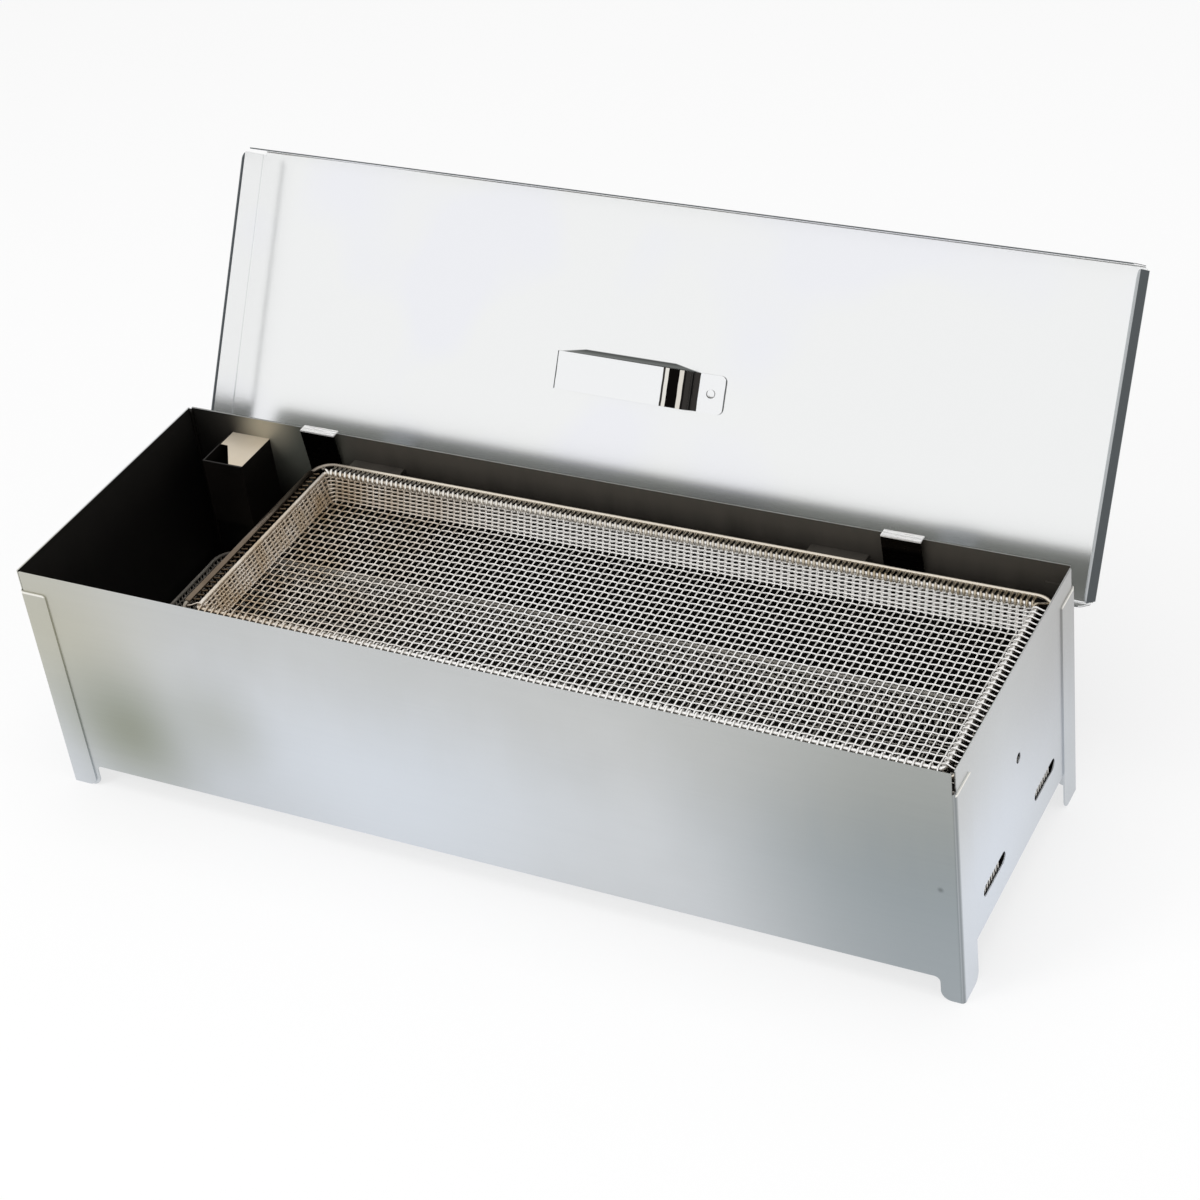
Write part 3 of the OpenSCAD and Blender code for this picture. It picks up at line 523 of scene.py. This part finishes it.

# painted shade on the skirts: half everywhere, full at the right end
right_shaded = add_node(tree, "ShaderNodeMapRange", {"From Min": right_shade_from, "From Max": right_shade_full, "To Min": 0.5},
                  {"Value": spot.outputs["X"]})
dulled = add_node(tree, "ShaderNodeMath", {"operation": "MULTIPLY"},
                  {0: skirt.outputs[0], 1: right_shaded.outputs[0]})
outer = add_node(tree, "ShaderNodeMix", {"data_type": "RGBA", 7: linear("#42484b")},
                 {0: dulled.outputs[0], 6: satin})
hem_shade = add_node(tree, "ShaderNodeMath", {"operation": "LESS_THAN", 1: hem_from}, {0: spot.outputs["Z"]})
right_hem_highlight = add_node(tree, "ShaderNodeMath", {"operation": "LESS_THAN", 1: highlight_from}, {0: spot.outputs["Z"]})
right = add_node(tree, "ShaderNodeMath", {"operation": "GREATER_THAN", 1: lid_half_x - 2 * lid_sheet},
                 {0: spot.outputs["X"]})
right_hem_highlight = add_node(tree, "ShaderNodeMath", {"operation": "MULTIPLY"}, {0: right_hem_highlight.outputs[0], 1: right.outputs[0]})
lid_colour = add_node(tree, "ShaderNodeMix", {"data_type": "RGBA"},
                      {0: inner.outputs[0], 6: outer.outputs[2], 7: bright.outputs[2]})
# painted shade on the free edges and a painted highlight on the right one
for share, coat in ((hem_shade, "#5b6063"), (right_hem_highlight, "#b4b8ba")):
    lid_colour = add_node(tree, "ShaderNodeMix", {"data_type": "RGBA", 7: linear(coat)},
                          {0: share.outputs[0], 6: lid_colour.outputs[2]})
outside = add_node(tree, "ShaderNodeMath", {"operation": "LESS_THAN", 1: 0.5}, {0: inner.outputs[0]})
dulled = add_node(tree, "ShaderNodeMath", {"operation": "MULTIPLY"},
                  {0: dulled.outputs[0], 1: outside.outputs[0]})
dulled = add_node(tree, "ShaderNodeMath", {"operation": "MAXIMUM"},
                  {0: dulled.outputs[0], 1: hem_shade.outputs[0]})
milky = add_node(tree, "ShaderNodeMix", {"data_type": "FLOAT", 3: 0.2}, {0: inner.outputs[0], 2: rough})
matt = add_node(tree, "ShaderNodeMix", {"data_type": "FLOAT", 3: 0.8},
                {0: dulled.outputs[0], 2: milky.outputs[0]})
bare = add_node(tree, "ShaderNodeMapRange", {"To Min": 1.0, "To Max": 0.2}, {"Value": dulled.outputs[0]})
tree.links.new(lid_colour.outputs[2], shader.inputs["Base Color"])
tree.links.new(bare.outputs[0], shader.inputs["Metallic"])
tree.links.new(matt.outputs[0], shader.inputs["Roughness"])
tree.links.new(relief, shader.inputs["Normal"])
dress(["lid_shell"], lid_steel)

# %% [markdown]
# Hinge straps, pins, leaves and rivets are bright-annealed strip. Only the part over the rim keeps its bright
# colour.
# Below the rim the strip is painted with shade: black on the leg inside the chamber, like the wall behind it,
# and satin grey outside.
# Fine scratches along the strip break the mirror a little.

# %% Bright strip
scratch_mm = 0.9       # real scratches are hair-thin, drawn wider to show
scratch_run_mm = 15

strip_steel, tree, shader, place = new_finish("bright-annealed stainless strip, lightly scratched")
stretch = add_node(tree, "ShaderNodeMapping", {"Scale": (scratch_mm / scratch_run_mm, 1.0, 1.0)},
                   {"Vector": place})
scratches = add_node(tree, "ShaderNodeTexNoise", {"Scale": per_mm(scratch_mm), "Detail": 5.0},
                     {"Vector": stretch.outputs[0]})
rough = add_node(tree, "ShaderNodeMapRange",
                 {"From Min": 0.3, "From Max": 0.75, "To Min": 0.2, "To Max": 0.4},
                 {"Value": scratches.outputs["Fac"]})
spot = add_node(tree, "ShaderNodeSeparateXYZ", None, {0: place})
low = add_node(tree, "ShaderNodeMath", {"operation": "LESS_THAN", 1: rim_z}, {0: spot.outputs["Z"]})
indoors = add_node(tree, "ShaderNodeMath", {"operation": "LESS_THAN", 1: floor_high.y + skin},
                   {0: spot.outputs["Y"]})
bright = add_node(tree, "ShaderNodeMix", {"data_type": "RGBA", 6: linear("#fafaf9"), 7: linear("#eeedeb")},
                  {0: scratches.outputs["Fac"]})
# painted shade below the rim: grey outside, black inside the chamber
leg_shade = add_node(tree, "ShaderNodeMix", {"data_type": "RGBA", 6: linear("#8d9092"), 7: linear("#120f0d")},
                {0: indoors.outputs[0]})
strip = add_node(tree, "ShaderNodeMix", {"data_type": "RGBA"},
                 {0: low.outputs[0], 6: bright.outputs[2], 7: leg_shade.outputs[2]})
bare = add_node(tree, "ShaderNodeMapRange", {"To Min": 0.5, "To Max": 1.0}, {"Value": low.outputs[0]})
tree.links.new(strip.outputs[2], shader.inputs["Base Color"])
tree.links.new(bare.outputs[0], shader.inputs["Metallic"])
tree.links.new(rough.outputs[0], shader.inputs["Roughness"])
dress(["hinge_strap_left", "hinge_strap_right", "strap_rivets", "hinge_pin_left", "hinge_pin_right",
       "hinge_leaf_left", "hinge_leaf_right", "leaf_rivets"], strip_steel)

# %% [markdown]
# The strip in the lid is as bright as the lid, except at its bend, where painted reflections lie across it in
# dark and light stripes. Its edges and its back, which the lid mirrors, are painted dark as shade. A colour
# ramp along the length holds the stripes, and the direction that a face looks in tells its front from the
# rest.

# %% Strip in the lid
# painted reflections of the bend, dark and light in turn
# where each band starts, in millimetres along the body, and its colour
bend_reflections = ((-75.0, "#5e6163"), (-69.8, "#f1f2f3"), (12.1, "#393735"), (13.8, "#e6e3dc"), (16.6, "#0e0c0b"),
         (24.6, "#dcd7ce"), (28.2, "#191716"), (29.9, "#353331"), (37.5, "#f1f2f3"), (55.8, "#77797b"))
reflections_from, reflections_to = -80 * MM, 60 * MM
band_wobble_mm = 9
band_wobble_shift = 0.4 * MM
front_least = 0.2          # how squarely a face looks into the lid's hollow to count as front
lid_inward = Vector((0, -math.sin(lid_turn), -math.cos(lid_turn)))

clip_steel, tree, shader, place = new_finish("bright stainless strip, painted reflections at the bend")
shader.inputs["Roughness"].default_value = 0.22
spot = add_node(tree, "ShaderNodeSeparateXYZ", None, {0: place})
band_wobble = add_node(tree, "ShaderNodeTexNoise", {"Scale": per_mm(band_wobble_mm), "Detail": 2.0}, {"Vector": place})
shake = add_node(tree, "ShaderNodeMapRange", {"To Min": -band_wobble_shift, "To Max": band_wobble_shift},
                 {"Value": band_wobble.outputs["Fac"]})
along = add_node(tree, "ShaderNodeMath", {"operation": "ADD"}, {0: spot.outputs["X"], 1: shake.outputs[0]})
along = add_node(tree, "ShaderNodeMapRange", {"From Min": reflections_from, "From Max": reflections_to},
                 {"Value": along.outputs[0]})
ramp = add_node(tree, "ShaderNodeValToRGB", None, {"Fac": along.outputs[0]})
stops = ramp.color_ramp.elements
ramp.color_ramp.interpolation = "CONSTANT"
while len(stops) < len(bend_reflections):
    stops.new(1.0)
for stop, (from_mm, band) in zip(stops, bend_reflections):
    stop.position = (from_mm * MM - reflections_from) / (reflections_to - reflections_from)
    stop.color = linear(band)
facing = add_node(tree, "ShaderNodeTexCoord").outputs["Normal"]
turned = add_node(tree, "ShaderNodeVectorMath", {"operation": "DOT_PRODUCT", 1: lid_inward}, {0: facing})
front = add_node(tree, "ShaderNodeMath", {"operation": "GREATER_THAN", 1: front_least},
                 {0: turned.outputs["Value"]})
# painted shade on the edges and the back
clip_colour = add_node(tree, "ShaderNodeMix", {"data_type": "RGBA", 6: linear("#3c3d3e")},
                       {0: front.outputs[0], 7: ramp.outputs["Color"]})
tree.links.new(clip_colour.outputs[2], shader.inputs["Base Color"])
dress(["lid_clip", "clip_rivet"], clip_steel)

# %% [markdown]
# The small box on the back wall hangs in the smoke. Its faces are black with smoke and painted shade; the
# flap on top, close under the rim, is painted a pale tan as lit steel. The shader finds the flap by its
# height and by leaving out the folded edges round it.

# %% Wall box
box_low, box_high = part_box("wall_box")
box_edge = 1.3 * MM
soot_mm = 25

smoked_steel, tree, shader, place = new_finish("folded stainless sheet, black with smoke and painted shade")
shader.inputs["Metallic"].default_value = 0.5
spot = add_node(tree, "ShaderNodeSeparateXYZ", None, {0: place})
soot_and_shade = add_node(tree, "ShaderNodeTexNoise", {"Scale": per_mm(soot_mm), "Detail": 4.0}, {"Vector": place})
black = add_node(tree, "ShaderNodeMix", {"data_type": "RGBA", 6: linear("#0c0a09"), 7: linear("#1d1915")},
                 {0: soot_and_shade.outputs["Fac"]})
# painted light on the flap
flap_painted_light = add_node(tree, "ShaderNodeMix", {"data_type": "RGBA", 6: linear("#cfc1ab"), 7: linear("#e0d6c5")},
                 {0: soot_and_shade.outputs["Fac"]})
flap = add_node(tree, "ShaderNodeMath", {"operation": "GREATER_THAN", 1: box_high.z - skin},
                {0: spot.outputs["Z"]})
back = add_node(tree, "ShaderNodeMath", {"operation": "GREATER_THAN", 1: box_low.y + box_edge},
                {0: spot.outputs["Y"]})
right = add_node(tree, "ShaderNodeMath", {"operation": "GREATER_THAN", 1: box_low.x + box_edge},
                 {0: spot.outputs["X"]})
for limit in (back, right):
    flap = add_node(tree, "ShaderNodeMath", {"operation": "MULTIPLY"},
                    {0: flap.outputs[0], 1: limit.outputs[0]})
fitting = add_node(tree, "ShaderNodeMix", {"data_type": "RGBA"},
                   {0: flap.outputs[0], 6: black.outputs[2], 7: flap_painted_light.outputs[2]})
rough = add_node(tree, "ShaderNodeMapRange", {"To Min": 0.35, "To Max": 0.55}, {"Value": soot_and_shade.outputs["Fac"]})
tree.links.new(fitting.outputs[2], shader.inputs["Base Color"])
tree.links.new(rough.outputs[0], shader.inputs["Roughness"])
dress(["wall_box"], smoked_steel)

# %% [markdown]
# The basket is drawn stainless wire. New wire is bright, and heat and smoke turn it straw and then brown
# where it is hottest, here at the left end and along the right part of the rim. The low tray lies in the
# smoke all the time and has gone dull. All are one finish with other colours, so one function makes them.

# %% Wire finishes
basket_low, basket_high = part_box("basket_outer_rod")
tint_blotch_mm = 22
straw_reach = 0.2
brown_reach = 0.07


def wire_finish(name, clean, tinted, left, right, least):
    """Drawn wire that is tinted at x = left and mostly clean at x = right."""
    made, tree, shader, place = new_finish(name)
    spot = add_node(tree, "ShaderNodeSeparateXYZ", None, {0: place})
    near = add_node(tree, "ShaderNodeMapRange",
                    {"interpolation_type": "SMOOTHSTEP", "From Min": right, "From Max": left,
                     "To Min": least}, {"Value": spot.outputs["X"]})
    blotches = add_node(tree, "ShaderNodeTexNoise", {"Scale": per_mm(tint_blotch_mm), "Detail": 2.0},
                        {"Vector": place})
    patchy = add_node(tree, "ShaderNodeMapRange", {"From Min": 0.3, "From Max": 0.7, "To Min": 0.5},
                      {"Value": blotches.outputs["Fac"]})
    heat = add_node(tree, "ShaderNodeMath", {"operation": "MULTIPLY"},
                    {0: near.outputs[0], 1: patchy.outputs[0]})
    colour = add_node(tree, "ShaderNodeMix", {"data_type": "RGBA", 6: linear(clean), 7: linear(tinted)},
                      {0: heat.outputs[0]})
    rough = add_node(tree, "ShaderNodeMapRange", {"To Min": 0.22, "To Max": 0.38},
                     {"Value": blotches.outputs["Fac"]})
    tree.links.new(colour.outputs[2], shader.inputs["Base Color"])
    tree.links.new(rough.outputs[0], shader.inputs["Roughness"])
    return made


basket_wire = wire_finish("drawn stainless wire, faint straw heat tint", "#fdfcfa", "#c3b096",
                          basket_low.x, basket_low.x + straw_reach, 0.05)
rim_wire = wire_finish("drawn stainless wire, straw heat tint", "#f3f0ea", "#ab9b7e",
                       basket_high.x, basket_low.x, 0.1)
rod_wire = wire_finish("drawn stainless rod, brown at the left end", "#e3dacb", "#5d5247",
                       basket_low.x, basket_low.x + brown_reach, 0.0)
rail_strip = wire_finish("folded stainless strip, browned by smoke", "#8a7c6c", "#6a5d50",
                         basket_low.x, basket_high.x, 0.3)
brown_wire = wire_finish("drawn stainless wire, browned by smoke", "#7a6a55", "#4d4033",
                         basket_low.x, basket_high.x, 0.3)
tray_wire = wire_finish("drawn stainless wire, dulled by smoke", "#dcd8cf", "#6d665d",
                        basket_low.x, basket_high.x, 0.0)
tray_wire.node_tree.nodes["Principled BSDF"].inputs["Metallic"].default_value = 0.15
dress(["basket_inner_rod"], basket_wire)
dress(["basket_outer_rod"], rod_wire)
dress(["tray_rim_rod"], tray_wire)

# %% [markdown]
# Each basket is plain weave: every wire goes over one crossing wire and under the next, and is bent up at the
# edge into the sides. It could be drawn as a bump on a flat sheet, but light has to pass through it and its
# edge shows, so here each wire is a real tube. The first function makes the tube along a line of points, and
# the second joins many tubes into one piece that rides on a body in place of the frame's plain nets.

# %% Round wires
wire_sides = 5         # a wire is only a few pixels thick in the picture
tray_wire_sides = 4


def tube(points, plane, radius, sides, closed=False):
    """Corners and faces of a round wire. plane is the normal of the plane that the wire is bent in."""
    points = np.asarray(points, float)
    if closed:
        along = np.roll(points, -1, 0) - np.roll(points, 1, 0)
    else:
        along = np.gradient(points, axis=0)
    along /= np.linalg.norm(along, axis=1, keepdims=True)
    out = np.cross(along, plane)
    out /= np.linalg.norm(out, axis=1, keepdims=True)
    across = np.cross(out, along)
    turn = 2 * math.pi * np.arange(sides) / sides
    rings = points[:, None] + radius * (np.cos(turn)[None, :, None] * out[:, None]
                                        + np.sin(turn)[None, :, None] * across[:, None])
    count = len(points)
    ring = np.arange(count if closed else count - 1)[:, None] * sides
    side = np.arange(sides)[None, :]
    after = (side + 1) % sides
    next_ring = (ring + sides) % (count * sides)
    faces = np.stack([ring + side, next_ring + side, next_ring + after, ring + after], -1)
    faces = faces.reshape(-1, 4).tolist()
    if not closed:
        faces.append(list(range(sides)))
        faces.append(list(range(count * sides - 1, (count - 1) * sides - 1, -1)))
    return rings.reshape(-1, 3), faces


def wire_piece(name, wires, finish, body, nodes=()):
    """One piece from many wires, riding on a body and standing in for CAD nodes."""
    corners, faces, start = [], [], 0
    for wire_corners, wire_faces in wires:
        corners.append(wire_corners)
        faces.extend([[start + i for i in face] for face in wire_faces])
        start += len(wire_corners)
    mesh = bpy.data.meshes.new(name)
    mesh.from_pydata(np.concatenate(corners).tolist(), [], faces)
    mesh.shade_smooth()
    mesh.materials.append(finish)
    piece = bpy.data.objects.new(name, mesh)
    bpy.context.scene.collection.objects.link(piece)
    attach(piece, body)
    if nodes:
        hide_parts(*nodes)
    print(name, len(wires), "wires,", len(faces), "faces")


print("wires have", wire_sides, "sides, the tray's", tray_wire_sides)

# %% [markdown]
# A basket is known by a few sizes, all read from the frame: half the length and width of its floor, the same
# for the middle of its rim rod, and both heights. Round corners make the floor narrower near its ends, and a
# walk round the rim gives the places where wires are wrapped or stand.

# %% Sizes of a basket
basket_corner = 4 * MM
tray_corner = 15 * MM


def measure(floor_node, rod_node, corner):
    """Sizes of a basket between its floor and its rim rod."""
    low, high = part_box(floor_node)
    rod_low, rod_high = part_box(rod_node)
    rod = rod_high.z - rod_low.z
    return SimpleNamespace(
        middle=(low + high) / 2, corner=corner, rod=rod,
        half_x=(high.x - low.x) / 2, half_y=(high.y - low.y) / 2, floor_z=(low.z + high.z) / 2,
        top_x=(rod_high.x - rod_low.x - rod) / 2, top_y=(rod_high.y - rod_low.y - rod) / 2, top_z=rod_low.z)


def reach_at(spot, half, half_across, corner):
    """Half the width of a round-cornered floor at a distance from its middle."""
    into = abs(spot) - (half - corner)
    if into <= 0:
        return half_across
    return half_across - corner + math.sqrt(max(corner ** 2 - into ** 2, 0.0))


def loop_length(half_x, half_y, corner):
    """Length of a round-cornered rectangle."""
    return 4 * (half_x + half_y - 2 * corner) + 2 * math.pi * corner


def loop_spot(run, half_x, half_y, corner):
    """Place and outward direction after a run along a round-cornered rectangle."""
    quarter = math.pi * corner / 2
    for side in range(4):
        half, reach = ((half_x, half_y), (half_y, half_x))[side % 2]
        straight = half - corner
        turn = Matrix.Rotation(side * math.pi / 2, 2)
        if run <= 2 * straight:
            return turn @ Vector((run - straight, -reach)), turn @ Vector((0, -1))
        run -= 2 * straight
        if run <= quarter:
            out = Vector((math.sin(run / corner), -math.cos(run / corner)))
            return turn @ (Vector((straight, corner - reach)) + corner * out), turn @ out
        run -= quarter
    return loop_spot(run, half_x, half_y, corner)


basket = measure("basket_floor_mesh", "basket_inner_rod", basket_corner)
tray = measure("tray_floor_mesh", "tray_rim_rod", tray_corner)
for name, size in (("basket", basket), ("tray", tray)):
    print(name, "floor", round(2 * size.half_x / MM), "x", round(2 * size.half_y / MM), "mm")

# %% [markdown]
# A woven wire follows a flat path, the floor and both sloping sides unrolled, and swings up and down along it
# at each crossing. Two round wires that only touch would swing by half their thickness. Basket mesh is rolled
# flat after weaving, which presses the crossings into each other, so here the swing is smaller.

# %% Weave
steps_per_gap = 3
pressed = 0.17


def woven_path(floor_reach, top_reach, floor_z, top_z, gap, crossings, swing):
    """Distance across and height along one wire that runs from rim to rim."""
    slope = math.hypot(top_reach - floor_reach, top_z - floor_z)
    step = gap / steps_per_gap
    half = np.append(np.arange(0, floor_reach + slope - step / 2, step), floor_reach + slope)
    run = np.concatenate([-half[:0:-1], half])
    rise = np.clip((np.abs(run) - floor_reach) / slope, 0, 1)
    across = np.sign(run) * (np.minimum(np.abs(run), floor_reach) + rise * (top_reach - floor_reach))
    height = floor_z + rise * (top_z - floor_z)
    crimp = swing * np.cos(math.pi * (run / gap + (crossings - 1) / 2))
    lean_in = (top_z - floor_z) / slope
    lean_up = (top_reach - floor_reach) / slope
    across += np.where(rise > 0, -np.sign(run) * lean_in, 0.0) * crimp
    height += np.where(rise > 0, lean_up, 1.0) * crimp
    return across, height


def weave(size, wire, wanted_x, wanted_y, sides):
    """The wires of a woven basket, across its floor and up its sides, about as far apart as wanted."""
    count_x, count_y = round(2 * size.half_x / wanted_x), round(2 * size.half_y / wanted_y)
    gap_x, gap_y = 2 * size.half_x / count_x, 2 * size.half_y / count_y
    swing = pressed * wire
    wires = []
    for j in range(count_y):
        y = (j - (count_y - 1) / 2) * gap_y
        across, height = woven_path(reach_at(y, size.half_y, size.half_x, size.corner),
                                    reach_at(y, size.top_y, size.top_x, size.corner),
                                    size.floor_z, size.top_z, gap_x, count_x, swing * (-1) ** j)
        line = np.stack([size.middle.x + across, np.full_like(across, size.middle.y + y), height], -1)
        wires.append(tube(line, (0, 1, 0), wire / 2, sides))
    for i in range(count_x):
        x = (i - (count_x - 1) / 2) * gap_x
        across, height = woven_path(reach_at(x, size.half_x, size.half_y, size.corner),
                                    reach_at(x, size.top_x, size.top_y, size.corner),
                                    size.floor_z, size.top_z, gap_y, count_y, -swing * (-1) ** i)
        line = np.stack([np.full_like(across, size.middle.x + x), size.middle.y + across, height], -1)
        wires.append(tube(line, (1, 0, 0), wire / 2, sides))
    return wires


basket_wire_d = 1.4 * MM
basket_gap = 4.9 * MM
basket_gap_across = 6.1 * MM
wire_piece("basket_weave", weave(basket, basket_wire_d, basket_gap, basket_gap_across, wire_sides),
           basket_wire, "basket", ["basket_floor_mesh"])

# %% [markdown]
# The mesh is turned over at the rim and comes down the inside again, so the sides are double and look much
# closer than the floor. Level wires run round the sides, and the second layer's uprights stand between those
# of the first.

# %% Double sides
def side_wires(size, wire, gap, levels, sides):
    """Level wires round the sides and the uprights of the second layer."""
    wires = []
    slope_x, slope_y = size.top_x - size.half_x, size.top_y - size.half_y
    for k in range(levels):
        share = (k + 0.5) / levels
        half_x, half_y = size.half_x + share * slope_x, size.half_y + share * slope_y
        length = loop_length(half_x, half_y, size.corner)
        count = 2 * round(length / gap)
        line = []
        for step in range(count):
            spot, out = loop_spot(step * length / count, half_x, half_y, size.corner)
            flat = spot + pressed * wire * (-1) ** (step + k) * out
            line.append((size.middle.x + flat.x, size.middle.y + flat.y,
                         size.floor_z + share * (size.top_z - size.floor_z)))
        wires.append(tube(line, (0, 0, 1), wire / 2, sides, closed=True))
    length = loop_length(size.top_x, size.top_y, size.corner)
    count = round(length / gap)
    for step in range(count):
        spot, out = loop_spot((step + 0.5) * length / count, size.top_x, size.top_y, size.corner)
        line = []
        for share in np.linspace(0, 1, levels + 2).tolist():
            flat = spot - (1 - share) * slope_x * out
            line.append((size.middle.x + flat.x, size.middle.y + flat.y,
                         size.floor_z + share * (size.top_z - size.floor_z)))
        wires.append(tube(line, (-out.y, out.x, 0), wire / 2, sides))
    return wires


basket_side_d = 1.8 * MM
basket_levels = 7
wire_piece("basket_sides", side_wires(basket, basket_side_d, basket_gap, basket_levels, wire_sides),
           basket_wire, "basket", ["basket_side_mesh"])

# %% [markdown]
# At the rim the wires go over the inner rod. Each starts inside it, runs over its top, dips between the rods
# and ends at the inner side of the outer one, which stays a smooth line. Along the back a second wire is
# wound round with them, so close and leaning that the rim looks like a little chain. On the front and the
# right the mesh just passes over. The left side is browned: its wires start at the outer side of the inner
# rod, which shows as a pale line.

# %% Wrapped rim
wrap_gap = 3.7 * MM
wrap_lean = 2.4 * MM
wrap_wire_d = 2.0 * MM
wrap_dip = 0.3
over_inner = np.radians([-25, 15, 55, 95, 135])
against_outer = np.radians([165, 185, 205])
back_from = 0.02       # the back, with its corners, is where the outward direction has more y than this
left_from = -0.98      # and the left is where it has no more x than this

outer_rod_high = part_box("basket_outer_rod")[1]
inner_rod_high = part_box("basket_inner_rod")[1]
rod_r = basket.rod / 2
rod_z = basket.top_z + rod_r
rods_apart = outer_rod_high.x - inner_rod_high.x
wrap_r = rod_r + wrap_wire_d / 2
profile = [(-wrap_r * math.cos(a), wrap_r * math.sin(a)) for a in over_inner]
profile.append((rods_apart / 2, wrap_dip * wrap_r))
profile += [(rods_apart + wrap_r * math.cos(a), wrap_r * math.sin(a)) for a in against_outer]
left_profile = profile[len(over_inner) - 1:]
rim_run = loop_length(basket.top_x, basket.top_y, basket.corner)


def rim_wires(profile, gap, lean, wire, wanted):
    """Wires between the rods, at those places on the rim whose outward direction is wanted."""
    count = round(rim_run / gap)
    wires = []
    for w in range(count):
        spot, out = loop_spot(w * rim_run / count, basket.top_x, basket.top_y, basket.corner)
        if not wanted(out):
            continue
        ahead = Vector((-out.y, out.x))
        line = []
        for step, (away, up) in enumerate(profile):
            slide = lean * (step / (len(profile) - 1) - 0.5)
            flat = spot + away * out + slide * ahead
            line.append((basket.middle.x + flat.x, basket.middle.y + flat.y, rod_z + up))
        wires.append(tube(line, (ahead.x, ahead.y, 0), wire / 2, wire_sides))
    return wires


wire_piece("basket_rim_wraps",
           rim_wires(profile, wrap_gap, wrap_lean, wrap_wire_d, lambda out: out.y > back_from),
           rim_wire, "basket", ["basket_rim_mesh"])
wire_piece("basket_rim_mesh_over",
           rim_wires(profile, basket_gap, 0.0, basket_wire_d,
                     lambda out: out.y <= back_from and out.x > left_from),
           basket_wire, "basket")
wire_piece("basket_rim_mesh_left",
           rim_wires(left_profile, basket_gap, 0.0, basket_wire_d, lambda out: out.x <= left_from),
           brown_wire, "basket")

# %% [markdown]
# At the left a narrow strip is folded over the outer rod. A flat band would look like paper, so it gets a low
# crown: one section, as wide as the strip, is carried along the straight part of the side.

# %% Left rail
rail_width = 4.2 * MM
rail_crown = 0.5 * MM
rail_sheet = 0.5 * MM
rail_steps = 8

rail_half = basket.top_y - basket.corner
section = []
for step in range(rail_steps + 1):
    share = step / rail_steps
    section.append((rods_apart + (share - 0.5) * rail_width, rod_r + rail_crown * math.sin(math.pi * share)))
section += [(away, up - rail_sheet) for away, up in reversed(section)]
corners, faces = [], []
for y in (-rail_half, rail_half):
    for away, up in section:
        corners.append((basket.middle.x - basket.top_x - away, basket.middle.y + y, rod_z + up))
count = len(section)
for i in range(count):
    after = (i + 1) % count
    faces.append([i, after, count + after, count + i])
faces.append(list(range(count - 1, -1, -1)))
faces.append(list(range(count, 2 * count)))
wire_piece("basket_left_rail", [(np.array(corners), faces)], rail_strip, "basket")

# %% [markdown]
# The low tray is woven the same way from wider and thinner mesh, and its sides are doubled too.

# %% Low tray
tray_wire_d = 1.2 * MM
tray_gap = 8.4 * MM
tray_side_gap = 3.6 * MM
tray_levels = 4
wire_piece("tray_weave", weave(tray, tray_wire_d, tray_gap, tray_gap, tray_wire_sides),
           tray_wire, "tray", ["tray_floor_mesh"])
wire_piece("tray_sides", side_wires(tray, tray_wire_d, tray_side_gap, tray_levels, tray_wire_sides),
           tray_wire, "tray", ["tray_side_mesh"])

# %% [markdown]
# The ends of the tray's wires are turned over its rim rod and hang down outside it, as a row of hooks just
# behind the two slots of the right end. They are matt, so they scatter the light that comes in, and show as
# fine hatching.

# %% Hooks behind the slots
hook_gap = 3.8 * MM
hook_wire_d = 1.2 * MM
hook_low = 46.5 * MM
hook_rows = ((-70 * MM, -35 * MM), (23 * MM, 58 * MM))
hook_clear = 0.95 * MM
hook_bend_x, hook_bend_z = 1.2 * MM, 1.4 * MM

hook_x = floor_high.x - hook_clear
over_rod = tray.top_z + tray.rod + hook_wire_d / 2
cut_ends = wire_finish("cut ends of stainless wire, frosted", "#f6f4ef", "#cfcabf",
                       basket_low.x, basket_high.x, 0.0)
cut_ends.node_tree.nodes["Principled BSDF"].inputs["Metallic"].default_value = 0.0
hooks = []
for first, last in hook_rows:
    for y in np.arange(first, last, hook_gap).tolist():
        line = [(tray.middle.x + tray.top_x, y, over_rod), (hook_x - hook_bend_x, y, over_rod),
                (hook_x, y, over_rod - hook_bend_z), (hook_x, y, hook_low)]
        hooks.append(tube(line, (0, 1, 0), hook_wire_d / 2, wire_sides))
wire_piece("tray_wire_hooks", hooks, cut_ends, "tray")

# %% [markdown]
# At the left end the long panels meet the end panel in open corners, which are closed on the inside by a thin
# weld bead from the floor to the rim.

# %% Weld beads in the left corners
bead_d = 2.4 * MM
bead_sides = 8
bead_inset = 0.4 * bead_d
bead_top = rim_z - 1 * MM
ripples = 60
ripple = 0.15 * MM

beads = []
for side in (-1, 1):
    x, y = floor_low.x + bead_inset, side * (floor_high.y - bead_inset)
    heights = np.linspace(floor_high.z, bead_top, ripples).tolist()
    line = [(x + ripple * (-1) ** step, y, z) for step, z in enumerate(heights)]
    beads.append(tube(line, (0, 1, 0), bead_d / 2, bead_sides))
wire_piece("corner_welds", beads, smoked_steel, "housing")
